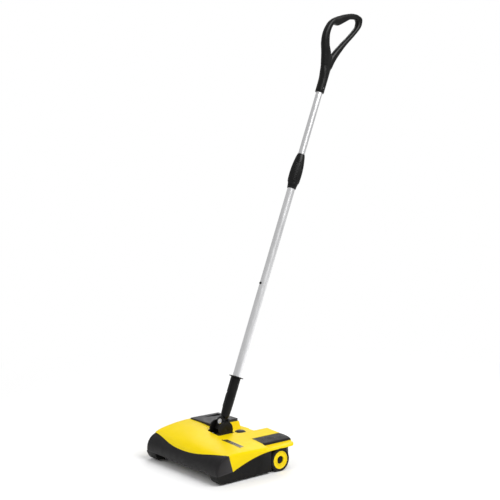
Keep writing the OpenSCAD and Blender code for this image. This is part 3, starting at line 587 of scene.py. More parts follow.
def hood_solid(name, inset, step):
    """The hood as a solid, shrunk by inset; grid lines stand close where its height steps."""
    half, rear, r = HALF_W - inset, REAR_Y - inset, CORNER - inset
    edge = [0, 0.15, 0.5, 1.1, 1.9, 3.0, 4.5, 7, 10, 14, 18]
    xs = [-half + e for e in edge] + spaced(-half + 22, WALL_X - 2, step)
    xs += [WALL_X + e for e in (-2, -0.8, -0.3, 0.3, 0.9, 2)]
    xs += spaced(WALL_X + 5, 135, step) + [135, 136.4, 136.9, 137.1, 137.6]
    xs += [half - e for e in reversed(edge) if half - e > 138]
    ys = [NOSE_Y - (NOSE_R - inset) * cos(radians(4 * k)) for k in range(15)]
    ys += spaced(NOSE_Y - 20, 46, step) + [46, 46.7, 47.3, 48] + spaced(50, 110, step)
    ys += [110, 111.5, 112.5, 114, 116, 118, 120, 121.5, 123.5]
    ys += [REAR_Y - CORNER + r * sin(radians(a)) for a in (0, 12, 24, 36, 47, 57, 66, 74, 81, 86, 90)]
    top, bottom = [], []
    for y in ys:
        row, low = [], []
        for x in xs:
            px = plan_point(x, y, half)
            drop = end_drop(half - abs(x))
            z = hood_height(x, min(y, REAR_Y - 0.01)) - inset
            if y > NOSE_Y:
                z -= max(drop, end_drop(rear - y, 4.0))
            elif drop > 0:
                z = min(z, NOSE_Z + sqrt(max(0.0, (NOSE_R - inset - drop) ** 2 - (y - NOSE_Y) ** 2)))
            if inset:
                if abs(x) < POCKET_X + 3 and POCKET_Y0 - 3 < y < POCKET_Y1 + 3:
                    z = min(z, POCKET_Z - SKIN)
                if x > 85 and y > 45:
                    z = min(z, SHELF_Z)
            row.append((px, y, max(z, 24)))
            low.append((px, y, 20.0))
        top.append(row)
        bottom.append(low)
    return slab(name, top, bottom)


hood = hood_solid("hood", 0.0, 3.5)
cut(hood, hood_solid("inside", SKIN, 7.0))
# outlines drawn from the front (x, z) and from the side (y, z)
ALONG = HEAD @ Matrix(((1, 0, 0, 0), (0, 0, 1, 0), (0, 1, 0, 0), (0, 0, 0, 1)))
ACROSS = HEAD @ Matrix(((0, 0, 1, 0), (1, 0, 0, 0), (0, 1, 0, 0), (0, 0, 0, 1)))
# below the seams
front = [(x, seam(x)) for x in [-HALF_W - 2 + i * (2 * HALF_W + 4) / 48 for i in range(49)]]
front += [(HALF_W + 2, -10), (-HALF_W - 2, -10)]
cut(hood, prism("seam", front, NOSE_Y, -140, ALONG))
climb = [TIP_Y + CLIMB * i / 30 for i in range(31)]
flank = [(NOSE_Y - 1, 72.4), (NOSE_Y, 72.4)] + [(y, side_seam(y)) for y in climb]
flank += [(REAR_Y + 5, SIDE_Z), (REAR_Y + 5, -10), (NOSE_Y - 1, -10)]
cut(hood, prism("flank", flank, -HALF_W - 3, HALF_W + 3, ACROSS))
# openings
lid_lo, lid_hi = head_box("container_lid")
pad_lo, pad_hi = head_box("battery_pad")
pack_lo, pack_hi = head_box("battery_pack")
knob_lo, knob_hi = head_box("foot_switch")
KNOB = shift((knob_lo.x + knob_hi.x) / 2, (knob_lo.y + knob_hi.y) / 2, 0)
ABOVE = 120


def opening(lo, hi, gap, r, z0):
    """Cuts a rounded opening round a box, from z0 up."""
    outline = rounded(lo.x - gap, lo.y - gap, hi.x + gap, hi.y + gap, r)
    cut(hood, prism("opening", outline, z0, ABOVE, HEAD))


cut(hood, prism("pocket", rounded(-POCKET_X, POCKET_Y0, POCKET_X, POCKET_Y1, 4), POCKET_Z, ABOVE, HEAD))
opening(lid_lo, lid_hi, 0.5, 1.5, 40)
cut(hood, lathe("switch", [(0.001, 50), (15.4, 50), (15.4, ABOVE), (0.001, ABOVE)], KNOB))
cut(hood, block("pad", (pad_lo.x - 0.4, pad_lo.y - 0.4, 73), (HALF_W + 10, REAR_Y + 5, ABOVE), HEAD))
cut(hood, block("lip", (pad_hi.x - 6, pad_lo.y - 0.4, 69.6), (HALF_W + 10, REAR_Y + 5, ABOVE), HEAD))
opening(pack_lo, pack_hi, 0.4, 2, 40)
cut(hood, block("latch_notch", (pack_lo.x + 6, REAR_Y - 12, 30), (pack_hi.x - 6, REAR_Y + 3, ABOVE), HEAD))
# room over the wheels
for node in ("wheel_tyre_left", "wheel_tyre_right"):
    lo, hi = head_box(node)
    middle, r = (lo + hi) / 2, (hi.z - lo.z) / 2 + 0.9
    arch = [(0.001, lo.x - 1.5 - middle.x), (r, lo.x - 1.5 - middle.x), (r, hi.x + 8 - middle.x),
            (0.001, hi.x + 8 - middle.x)]
    if middle.x < 0:
        arch = [(a, -b) for a, b in arch]
    cut(hood, lathe("arch", arch, HEAD @ Matrix.Translation(middle), axis="x", steps=96))
soften(hood, 0.5, angle=40, segments=2, flat=0.05)
piece(hood, "housing", "hood_yellow", "top_hood")

# ---- bumper
BUMPER_T, BUMPER_TOP = 3.0, 72.2
NOTCHES = (-95, 108)
ARC = 24


def bumper_bottom(x):
    """Height of the bumper's wavy lower edge."""
    z = 25.0
    z -= 2.2 * exp(-((x + 52) / 18) ** 4)
    z -= 1.6 * ease(-40, 20, x) * (1 - ease(60, 95, x))
    z += 1.5 * exp(-((x - 98) / 16) ** 2)
    return z


def bumper():
    """Shell round the nose, with a flat plate at each end."""
    edge = [0, 0.12, 0.45, 1.0, 1.8, 2.8, 4.5]
    xs = [-HALF_W + e for e in edge] + spaced(-HALF_W + 7, HALF_W - 5, 3.2)
    xs = sorted(xs + [n + e for n in NOTCHES for e in (-2.4, -2.2, 2.2, 2.4)])
    xs += [HALF_W - e for e in reversed(edge)]
    rows = []
    for x in xs:
        r = NOSE_R - end_drop(HALF_W - abs(x))
        top_z = min(seam(x) - 0.25, NOSE_Z + r - 0.001)
        if any(abs(x - n) < 2.3 for n in NOTCHES):
            top_z -= 1.8
        a1 = asin(min(1, (top_z - NOSE_Z) / r))
        a0 = asin((bumper_bottom(x) - NOSE_Z) / r)
        arc = [a0 + (a1 - a0) * i / ARC for i in range(ARC + 1)]
        inner = min(r - 0.6, NOSE_R - BUMPER_T)
        rows.append([(x, *nose(r, a)) for a in arc] + [(x, *nose(inner, a)) for a in reversed(arc)])
    verts, faces = grid(rows, close_u=True)
    shell = build("bumper", verts, faces, HEAD)
    for side in (-1, 1):
        inside = HALF_W - BUMPER_T
        points = []
        for x in (HALF_W, inside):
            r = NOSE_R - end_drop(HALF_W - x)
            a0 = asin((bumper_bottom(side * x) - NOSE_Z) / r)
            points.append([nose(r, a0 + (pi / 2 - a0) * i / ARC) for i in range(ARC + 1)])
        line = [(NOSE_Y - 0.3 + (TIP_Y - NOSE_Y) * i / ARC, BUMPER_TOP + (TIP_Z - BUMPER_TOP) * i / ARC)
                for i in range(ARC, -1, -1)]
        rows = [[(side * x, y, z) for y, z in row]
                for x, row in ((HALF_W, points[0]), (HALF_W, line), (inside, line), (inside, points[1]))]
        verts, faces = grid(rows)
        faces += [tuple(k * (ARC + 1) + c for k in range(4)) for c in (0, ARC)]
        shell = join("bumper", [shell, build("plate", verts, faces, HEAD)])
    with editing(shell.data) as bm:
        bmesh.ops.remove_doubles(bm, verts=bm.verts, dist=2e-5)
        bmesh.ops.recalc_face_normals(bm, faces=bm.faces)
    return shade(shell, 40)


piece(bumper(), "housing", "bumper_grey", "front_bumper")
refine("chassis", "chassis_black", 0.5)

# ---- printed strip
def strip_patch(name, corners):
    """Thin printed patch that follows the hood between four plan corners."""
    steps, lift = 16, 0.7
    rows = []
    for i in range(steps + 1):
        row = []
        for j in range(steps + 1):
            u, v = i / steps, j / steps
            x, y = [(corners[0][k] * (1 - u) + corners[1][k] * u) * (1 - v)
                    + (corners[3][k] * (1 - u) + corners[2][k] * u) * v for k in (0, 1)]
            row.append((x, y, hood_height(x, y) + lift))
        rows.append(row)
    verts, faces = grid(rows)
    patch = build(name, verts, faces, HEAD)
    thick = patch.modifiers.new("film", "SOLIDIFY")
    thick.thickness = 0.001
    thick.offset = -1
    return bake(patch)


strip_lo, strip_hi = head_box("hood_badge")
x0, x1, y0 = strip_lo.x, strip_hi.x, strip_lo.y
patches = [strip_patch("hood_strip", [(x0 + 10, y0), (x1, y0), (x1, y0 + 3.2), (x0 + 10, y0 + 3.2)])]
for i in range(7):
    a = x0 + 14 + i * 10.2
    patches.append(strip_patch("bar", [(a, y0 + 5), (a + 8, y0 + 5), (a + 11, y0 + 14), (a + 3, y0 + 14)]))
strip = join("hood_strip", patches)
piece(shade(strip, 30), "housing", "badge_black", "hood_badge")


# ---- wheels and rollers
tyre_lo, tyre_hi = head_box("wheel_tyre_right")
cap_lo, cap_hi = head_box("wheel_cap_right")
WX0, WX1, WR = tyre_lo.x, tyre_hi.x, (tyre_hi.z - tyre_lo.z) / 2
CAP_R = (cap_hi.z - cap_lo.z) / 2


def tyre(place):
    """Tyre with two grooves round it and a fine cross tread between them."""
    section = shifted(WX0, (24, 0.6), (27.4, 0.15), (28.5, 0), (29.4, 0.4), (WR - 0.3, 1.6), (WR, 3),
                      (WR, 4.2), (WR - 0.8, 4.5), (WR - 0.8, 5.3), (WR, 5.6))
    section += shifted(WX1, (WR, -5.6), (WR - 0.8, -5.3), (WR - 0.8, -4.5), (WR, -4.2), (WR, -3),
                       (WR - 0.3, -1.6), (29.4, -0.4), (28.5, 0), (27.6, -0.1), (27.2, -0.5), (26.4, -0.5),
                       (26, -0.15), (24.8, -0.3), (24, -0.6))
    rows = []
    steps = 288
    for r, h in section:
        ring = []
        for i in range(steps):
            a = 2 * pi * i / steps
            rr = r - 0.45 if i % 6 in (0, 1) and r > WR - 0.1 and WX0 + 5.4 < h < WX1 - 5.4 else r
            ring.append((h, rr * cos(a), rr * sin(a)))
        rows.append(ring)
    verts, faces = grid(rows, close_u=True, close_v=True)
    return shade(build("tyre", verts, faces, place), 40)


def hub(place):
    """Dished wheel disc with a raised bead, ribs behind it, and a recess for the cap."""
    section = shifted(WX0, (4.06, 0.6), (8, 0.6), (8.3, 1), (8.3, 8), (21, 8), (21, 1), (21.4, 0.6),
                      (23.96, 0.6))
    section += shifted(WX1 - 0.7, (23.96, -0.5), (23.5, 0), (22.6, 0), (22.2, -0.3), (21.8, -1.1),
                       (20.6, -1.9), (18.6, -2.25), (15.2, -2.1), (13.6, -1.5), (12.9, -0.6),
                       (12.3, -0.15), (11.5, -0.1), (11.0, -0.5), (CAP_R + 0.06, -1.2))
    section += shifted(cap_lo.x, (CAP_R + 0.06, -0.1), (6.1, -0.1)) + shifted(WX0, (6.1, 5), (4.06, 5))
    body = lathe("hub", section, place, axis="x", steps=120, closed=True)
    parts = [body]
    for k in range(8):
        a = pi * k / 4
        turn = place @ Matrix.Rotation(a, 4, "X")
        parts.append(block("rib", (WX0 + 1.4, -0.7, 8.1), (WX0 + 8.2, 0.7, 21.2), turn))
    return shade(join("hub", parts), 35)


def cap(place):
    """Dark centre cap: a shallow dome with a raised ring, a groove inside it and a small boss in its middle.
    """
    section = shifted(cap_lo.x, (0.01, 0), (CAP_R - 0.4, 0), (CAP_R, 0.4))
    section += shifted(cap_hi.x, (CAP_R, -1.6), (CAP_R - 0.5, -1.1), (9.0, -0.9), (8.6, -1.5), (7.4, -1.5),
                       (7.0, -0.9), (5.0, -0.45), (3.4, -0.3), (3.1, -0.9), (2.4, -0.9), (2.1, -0.2),
                       (0.01, 0))
    return shade(lathe("cap", section, place, axis="x", steps=72), 30)


for side, name in ((1, "right"), (-1, "left")):
    spot = on_axle("wheel_tyre_right") @ Matrix.Scale(side, 4, (1, 0, 0))
    for make, what, slot in ((tyre, "wheel_tyre", "tyre_rubber"), (hub, "wheel_hub", "wheel_yellow"),
                             (cap, "wheel_cap", "chassis_black")):
        obj = make(spot)
        obj.name = what + "_" + name + "_finished"
        piece(obj, "wheel_" + name, slot, what + "_" + name)
    lo, hi = head_box("front_roller_" + name)
    r = (hi.z - lo.z) / 2
    section = shifted(lo.x, (2.05, 0.3), (2.4, 0), (5.6, 0), (r - 0.3, 0.5), (r, 1.2), (r, 4.6), (r - 0.5, 5),
                      (r - 0.5, 5.8), (r, 6.2))
    section += shifted(hi.x, (r, -6.2), (r - 0.5, -5.8), (r - 0.5, -5), (r, -4.6), (r, -1.2), (r - 0.3, -0.5),
                       (5.6, 0), (2.4, 0), (2.05, -0.3))
    node = "front_roller_" + name
    turned(node, section, on_axle(node), "roller_" + name, "chassis_black", axis="x", steps=64, closed=True,
           sharp=35)


# ---- screws
def cross_head(name, r, height, place):
    """Pan head with a cross recess; it stands on z = 0 of its own frame."""
    section = [(0.01, 0), (r, 0), (r, height * 0.3), (r * 0.93, height * 0.62), (r * 0.75, height * 0.86),
               (r * 0.45, height * 0.98), (0.01, height)]
    head = lathe(name, section, place, steps=32)
    w, l = r * 0.13, r * 0.62
    cross = [(w, w), (l, w), (l, -w), (w, -w), (w, -l), (-w, -l), (-w, -w), (-l, -w), (-l, w), (-w, w),
             (-w, l), (w, l)]
    cut(head, prism("cross", cross, height * 0.35, height * 2, place))
    return shade(head, 30)


def shank(r, z0, z1, place):
    """Threaded shank between two heights."""
    rows = []
    turns = max(3, (z1 - z0) / 1.1)
    steps = int(turns * 12)
    for side in (-0.5, 0.0, 0.5):
        row = []
        for i in range(steps + 1):
            a = 2 * pi * turns * i / steps
            z = z0 + (z1 - z0) * i / steps + side * (z1 - z0) / turns * 0.98
            rr = r if side == 0.0 else r * 0.74
            row.append((rr * cos(a), rr * sin(a), min(max(z, z0), z1)))
        rows.append(row)
    verts, faces = grid(rows)
    core = lathe("shank_core", [(0.01, z0), (r * 0.76, z0), (r * 0.76, z1), (0.01, z1)], place, steps=16)
    return join("shank", [build("thread", verts, faces, place), core])


def screws(node, places, r, head_h, length, body):
    """Screws whose heads stand on z = 0 of each place; the head is twice as wide as the thread."""
    parts = []
    for p in places:
        parts += [cross_head("head", 2 * r, head_h, p), shade(shank(r, -length, 0.1, p), 30)]
    obj = join(node + "_finished", parts)
    piece(paint(obj, "bright_steel"), body, "bright_steel", node)


def solids_of(node):
    """Box of each separate solid in a CAD node, in its local head frame."""
    bm = bmesh.new()
    bm.from_mesh(frame["nodes"][node].data)
    bmesh.ops.remove_doubles(bm, verts=bm.verts, dist=1e-6)
    seen, boxes = set(), []
    inverse = HEAD.inverted()
    for start in bm.verts:
        if start in seen:
            continue
        stack, group = [start], []
        seen.add(start)
        while stack:
            v = stack.pop()
            group.append(inverse @ v.co)
            for e in v.link_edges:
                w = e.other_vert(v)
                if w not in seen:
                    seen.add(w)
                    stack.append(w)
        boxes.append((Vector([min(c[k] for c in group) for k in range(3)]),
                      Vector([max(c[k] for c in group) for k in range(3)])))
    bm.free()
    return boxes


down = Matrix.Rotation(pi, 4, "X")
places = [shift((lo.x + hi.x) / 2, (lo.y + hi.y) / 2, lo.z + 2) @ down
          for lo, hi in solids_of("hood_screws")]
screws("hood_screws", places, 1.75, 2.0, 19.5, "housing")
places = [shift((lo.x + hi.x) / 2, (lo.y + hi.y) / 2, hi.z - 2)
          for lo, hi in solids_of("joint_screws")]
screws("joint_screws", places, 1.75, 2.0, 8.8, "housing")


# ---- springs
def head_spring(node, along, turns, wire, body):
    lo, hi = head_box(node)
    centre = (lo + hi) / 2
    length = abs((hi - lo).dot(Vector(along)))
    radius = (hi.x - lo.x) / 2
    start = centre - Vector(along) * length / 2
    obj = shade(spring(node + "_finished", start, along, length, radius, wire, turns, HEAD), 60)
    piece(obj, body, "spring_steel", node)
    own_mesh(obj)


head_spring("foot_switch_spring", (0, 0, 1), 8, 0.42, "housing")
head_spring("latch_spring", (0, 1, 0), 5, 0.32, "battery")
snap_lo, snap_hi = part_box("snap_button")
snap_z = (TUBE.inverted() @ ((snap_lo + snap_hi) / 2)).z
snap_start, snap_length = (0, 7.6, snap_z), 13.8
obj = spring("snap_spring_finished", snap_start, (0, -1, 0), snap_length, 2.8, 0.3, 7, TUBE)
piece(shade(obj, 60), "lower_handle", "spring_steel", "snap_spring")
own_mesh(obj)

# ---- brush
core_lo, core_hi = head_box("brush_core")
BRUSH_Y, BRUSH_Z = (core_lo.y + core_hi.y) / 2, (core_lo.z + core_hi.z) / 2
bristle_lo, bristle_hi = head_box("brush_bristles")
FILAMENTS, TUFT_R, ROOT_R, TIP_R = 44, 2.3, 14.2, (bristle_hi.z - bristle_lo.z) / 2
ACROSS_BRUSH = Vector((1, 0, 0))
rng = random.Random(11)
verts, faces = [], []
for lo, hi in solids_of("brush_bristles"):
    centre = (lo + hi) / 2
    out = Vector((0, centre.y - BRUSH_Y, centre.z - BRUSH_Z)).normalized()
    side = ACROSS_BRUSH.cross(out)
    for k in range(FILAMENTS):
        a, q = rng.uniform(0, 2 * pi), TUFT_R * sqrt(rng.random())
        foot = Vector((centre.x, 0, 0)) + out * ROOT_R + q * (cos(a) * ACROSS_BRUSH + sin(a) * side)
        lean = ACROSS_BRUSH * cos(a) * q * 1.15 + side * (sin(a) * q * 1.15 + rng.uniform(-0.6, 0.6))
        tip = TIP_R - rng.uniform(0.1, 1.3)
        base = len(verts)
        for j in range(4):
            t = j / 3
            p = foot + out * (tip - ROOT_R) * t + lean * t * t
            across = hypot(p.y, p.z)
            if across > TIP_R - 0.1:
                p = Vector((p.x, p.y * (TIP_R - 0.1) / across, p.z * (TIP_R - 0.1) / across))
            r = 0.2 * (1 - 0.45 * t)
            for c in range(3):
                b = 2 * pi * c / 3 + a
                verts.append(tuple(p + r * (cos(b) * ACROSS_BRUSH + sin(b) * side)))
        for j in range(base, base + 9, 3):
            for c in range(3):
                d = (c + 1) % 3
                faces.append((j + c, j + d, j + 3 + d, j + 3 + c))
        faces.append((base + 9, base + 10, base + 11))
bristles = build("brush_bristles_finished", verts, faces, on_axle("brush_core"), merge=False)
piece(shade(bristles, 80), "brush", "bristle_black", "brush_bristles")
refine("brush_core", "core_grey", 0.35)
refine("brush_pulley", "core_grey", 0.3)

# ---- foot switch and pad
r = (knob_hi.x - knob_lo.x) / 2
section = shifted(knob_lo.z, (0.01, 0), (2.9, 0), (3, 0.2)) + [(3, 68), (r - 0.6, 68), (r, 68.6)]
section += shifted(knob_hi.z, (r, -5.1), (r - 0.5, -4.3), (12.6, -3.0), (12.0, -3.2), (11.2, -3.2),
                   (10.8, -2.3), (8.5, -1.35), (5.5, -0.6), (2.6, -0.12), (0.01, 0))
turned("foot_switch", section, KNOB, "foot_button", "panel_grey")


def pad():
    """Grip pad of the battery: crowned across, curved down over its outer edge, ridged fore and aft."""
    x0, x1, z0, z1 = pad_lo.x, pad_hi.x, pad_lo.z, pad_hi.z
    top = smooth_through([(x0, z1 - 1.6), (x0 + 1.6, z1 - 0.15), (x0 + 8, z1), (x0 + 24, z1 - 0.7),
                          (x0 + 36, z1 - 2.2), (x1 - 3.5, z1 - 4.6), (x1 - 1, z1 - 6.2), (x1, z1 - 8)])
    xs = [x0, x0 + 0.3, x0 + 0.8, x0 + 1.6] + [x0 + 2.4 + 0.8 * i for i in range(52)] \
        + [x1 - 3, x1 - 2, x1 - 1.2, x1 - 0.6, x1 - 0.2, x1]
    xs = [x for x in xs if x <= x1]
    y0, y1 = pad_lo.y, pad_hi.y
    ys = [y0, y0 + 0.3, y0 + 0.9, y0 + 2] + [y0 + 4 + (y1 - y0 - 8) * i / 30 for i in range(31)] \
        + [y1 - 2, y1 - 0.9, y1 - 0.3, y1]
    upper, lower = [], []
    for y in ys:
        end = max(0.0, 2 - min(y - y0, y1 - y))
        fall = 2 - sqrt(max(0.0, 4 - end * end))
        row, low = [], []
        for x in xs:
            z = top(x) - fall
            if x0 + 6 < x < x1 - 9 and y0 + 6 < y < y1 - 6:
                z -= 0.45 * max(0.0, cos((x - x0) * 2 * pi / 4.0)) ** 3
            row.append((x, y, z))
            floor_z = z0 + 0.02 if x > x1 - 3.5 else z0 + 4
            low.append((x, y, min(floor_z, z - 0.5)))
        upper.append(row)
        lower.append(low)
    return shade(slab("battery_pad_finished", upper, lower), 40)


piece(paint(pad(), "pad_black"), "battery", "panel_grey", "battery_pad")

# ---- container, battery, drive and electrics: the CAD shapes with rounded edges
for node, slot, *rounding in (
        ("container_lid", "panel_grey", 0.9, 32, 3), ("dust_container", "panel_grey", 0.8),
        ("container_seal", "tyre_rubber", 0.4), ("battery_pack", "battery_black", 1.2, 32, 3),
        ("battery_latch", "panel_grey", 0.3), ("battery_contacts", "contact_brass", 0.1),
        ("motor_can", "bright_steel", 0.8, 32, 3), ("motor_bracket", "chassis_black", 0.5),
        ("motor_rotor", "motor_iron", 0.4), ("motor_pulley", "core_grey", 0.25),
        ("drive_belt", "tyre_rubber", 0.2, 40), ("brush_bushings", "bronze", 0.3),
        ("micro_switch", "panel_grey", 0.3), ("charging_socket", "joint_black", 0.35),
        ("wheel_axles", "bright_steel", 0.4), ("roller_pins", "bright_steel", 0.3)):
    refine(node, slot, *rounding)


def board():
    lo, hi = head_box("circuit_board")
    z = lo.z + 1.6
    base = prism("circuit_board_finished", rounded(lo.x, lo.y, hi.x, hi.y, 2), lo.z, z, HEAD)
    parts = [paint(soften(base, 0.15), "board_green")]
    section = [(0.01, 0), (4.6, 0), (5, 0.6), (5, 1.4), (4.7, 1.8), (5, 2.2), (5, 13.3), (4.6, 13.9),
               (4.2, 13.9), (4.0, 13.6), (0.01, 13.6)]
    for x in (-8, 8):
        can = lathe("can", section, shift(x, 100, z), steps=36)
        parts.append(paint(shade(can, 35), "can_white"))

    def chip(slot, a, b, bottom, top, width=0.3):
        box = block("chip", (*a, z + bottom), (*b, z + top), HEAD)
        parts.append(paint(soften(box, width), slot))

    chip("natural_nylon", (24, 60), (42, 74), 0, 5.4)
    chip("joint_black", (-14, 60), (-4, 70), 0, 1.4)
    chip("joint_black", (26, 84), (34, 98), 0, 1.6)
    chip("joint_black", (-16, 78), (-8, 86), 0, 2.2)
    for x in [-13.2 + i * 1.3 for i in range(7)]:
        for y in (58.9, 69.8):
            chip("contact_brass", (x, y), (x + 0.5, y + 1.3), 0, 0.8, 0.05)
    for y in (82, 87, 92):
        for x in (18, 24, 30):
            chip("joint_black", (x, y), (x + 3.2, y + 1.6), 0, 0.7, 0.1)
    for x in (28, 33, 38):
        chip("contact_brass", (x, 66), (x + 0.6, 71), 5.3, 5.4, 0.02)
    return join("circuit_board_finished", parts)


piece(board(), "housing", "board_green", "circuit_board")

# ---- joint
base = refine("joint_base", "joint_black", 0.9, segments=3)
# side plate of the joint's foot, which closes the high side of its pocket
side = [(-12.4, 80.5), (40.2, 80.5), (40.2, 91.4), (37, 93), (-8, 92.4), (-12.4, 91)]
plate = prism("foot_plate", side, -24.7, -21, ACROSS)
PITCH_AXIS = on_axle("pitch_pin")
cut(plate, lathe("round", [(0.001, -30), (17.2, -30), (17.2, -10), (0.001, -10)], PITCH_AXIS, axis="x"))
base = join("joint_base_finished", [base, paint(soften(plate, 0.6), "joint_black")])
refine("joint_knuckle", "joint_black", 0.9, segments=3)
pin_lo, pin_hi = head_box("pitch_pin")
section = shifted(pin_lo.x, (0.01, 0), (2.6, 0), (3.5, 0.8))
section += shifted(pin_hi.x, (3.5, -0.8), (2.6, 0), (0.01, 0))
turned("pitch_pin", section, PITCH_AXIS, "housing", "joint_black", axis="x", steps=40)

roll_at = (TUBE.inverted() @ Vector(joints["handle_tilt"]["pos_m"])).z
FORK = 11.5
section = shifted(-FORK, (0.01, -1.3), (2.0, -1.3), (2.9, -1.7), (3.4, -2.1), (5.0, -2.2), (6.6, -1.9),
                  (7.5, -1.0), (7.5, 0), (3.2, 0))
section += shifted(FORK, (3.2, 0), (6.3, 0), (6.5, 0.3), (6.5, 1.1), (6.2, 1.4), (3.3, 1.4), (2.8, 1.0),
                   (0.01, 1.0))
turned("roll_pin", section, shift(0, 0, roll_at, TUBE), "knuckle", "bright_steel", axis="y", steps=56)
refine("handle_socket", "joint_black", 0.7, segments=3)
RING = 144.5
section = shifted(RING, (11.02, 0), (19.6, 0), (20.3, 0.5), (20.5, 1.2), (20.3, 2), (19.4, 2.5), (15.2, 2.7),
                  (14.4, 3), (11.6, 3), (11.02, 2.4))
turned("socket_ring", section, TUBE, "lower_handle", "joint_black", closed=True)

# ---- tubes
for node in ("lower_tube", "middle_tube", "upper_tube"):
    refine(node, "tube_aluminium", 0.15, segments=1)
section = [(0.01, -14), (2.4, -13.95), (3.0, -13.5), (3.2, -12.8), (3.2, -7.6), (4.4, -7.6), (4.4, -6.4),
           (0.01, -6.4)]
turned("snap_button", section, shift(0, 0, snap_z, TUBE), "tube_button", "joint_black",
       axis="y", steps=36, sharp=35)

# ---- clamp
CLAMP, SEAM = 701.0, 719.0
section = shifted(CLAMP, (11.02, 0), (11.9, 0), (12.4, 0.5), (13.2, 5.2), (13.0, 5.6), (13.1, 6.2))
section += shifted(SEAM, (14.9, -0.8), (14.7, -0.1), (12.6, 0), (12.6, 27.5), (12.1, 28), (9.56, 28))
section += shifted(CLAMP, (9.56, 11), (11.02, 11))
turned("clamp_body", section, TUBE, "lower_handle", "joint_black", closed=True)


def collar():
    """Twist grip: a spindle with fine diagonal ridges in six panels, and a plain cone above them."""
    outside = smooth_through([(0, 16.3), (3, 17.0), (16, 17.8), (30, 17.95), (46, 17.2), (62, 15.6),
                              (76, 13.3), (84, 11.6), (87.4, 10.6)])
    heights = [0.4, 0.7, 1.2, 2.0] + [2.8 + 1.0 * i for i in range(84)] + [87.0, 87.5]
    steps = 192
    turns = [2 * pi * i / steps for i in range(steps)]
    rows = []
    for h in heights:
        ring = []
        for a in turns:
            r = outside(h)
            if h < 1.2:
                r -= 0.5 * (1.2 - h)
            window = ease(5, 7, h) * (1 - ease(58, 61, h))
            panel = abs(sin(3 * a + 0.4))
            ridges = window * ease(0.22, 0.34, panel) * (0.5 + 0.5 * sin(40 * a + 1.3 * h))
            r -= 0.75 * ridges + 0.5 * window * (1 - ease(0.1, 0.2, panel))
            r -= 0.25 * exp(-((h - 63) / 0.7) ** 2)
            ring.append((r * cos(a), r * sin(a), SEAM + h))
        rows.append(ring)
    for r, h in ((9.95, 87.55), (9.95, 54), (13.3, 51), (13.3, 28), (13.1, 27), (13.1, 0.45)):
        rows.append([(r * cos(a), r * sin(a), SEAM + h) for a in turns])
    verts, faces = grid(rows, close_u=True, close_v=True)
    return shade(build("clamp_collar_finished", verts, faces, TUBE), 50)


piece(collar(), "clamp_grip", "grip_black", "clamp_collar")
refine("clamp_collet", "natural_nylon", 0.25)


# ---- loop handle
def section_ring(a, b, thick, power=2.5):
    """Rounded section between two points of the loop's outline, thick across its plane."""
    (ay, az), (by, bz) = a, b
    ring, count = [], 40
    for i in range(count):
        t = 2 * pi * i / count
        u = copysign(abs(cos(t)) ** (2 / power), cos(t))
        v = copysign(abs(sin(t)) ** (2 / power), sin(t))
        ring.append((thick * v, (ay + by) / 2 + (ay - by) / 2 * u, (az + bz) / 2 + (az - bz) / 2 * u))
    return ring


def open_curve(points, k):
    """Smooth curve through points, with k steps from each to the next."""
    ends = [tuple(2 * a - b for a, b in zip(points[0], points[1]))] + list(points) \
        + [tuple(2 * a - b for a, b in zip(points[-1], points[-2]))]
    out = []
    for i in range(1, len(ends) - 2):
        p = [Vector(ends[i + j]) for j in (-1, 0, 1, 2)]
        for j in range(k):
            t = j / k
            out.append(tuple((2 * p[1] + (p[2] - p[0]) * t + (2 * p[0] - 5 * p[1] + 4 * p[2] - p[3]) * t * t
                              + (3 * p[1] - p[0] - 3 * p[2] + p[3]) * t ** 3) / 2))
    return out + [tuple(points[-1])]


LOOP_HALF = 10.5
LOOP_SCREWS, SCREW_DEPTH = ((-4, 84), (69, 262)), 2.2


def halve(bm, side):
    """Keeps one side of the loop, closes it and rounds its rim into half of the parting line."""
    cutting = bmesh.ops.bisect_plane(bm, geom=bm.verts[:] + bm.edges[:] + bm.faces[:], dist=1e-7,
                                     plane_co=TUBE @ Vector((side * 0.14, 0, 0)), plane_no=(-side, 0, 0),
                                     clear_outer=True)
    rim = [e for e in cutting["geom_cut"] if isinstance(e, bmesh.types.BMEdge)]
    bmesh.ops.triangle_fill(bm, edges=rim, use_beauty=True)
    bmesh.ops.recalc_face_normals(bm, faces=bm.faces)
    rim = [e for e in rim if e.is_valid and len(e.link_faces) == 2 and e.calc_face_angle(0) > 0.6]
    bmesh.ops.bevel(bm, geom=rim, offset=0.00045, segments=2, profile=0.5, affect="EDGES", clamp_overlap=True)


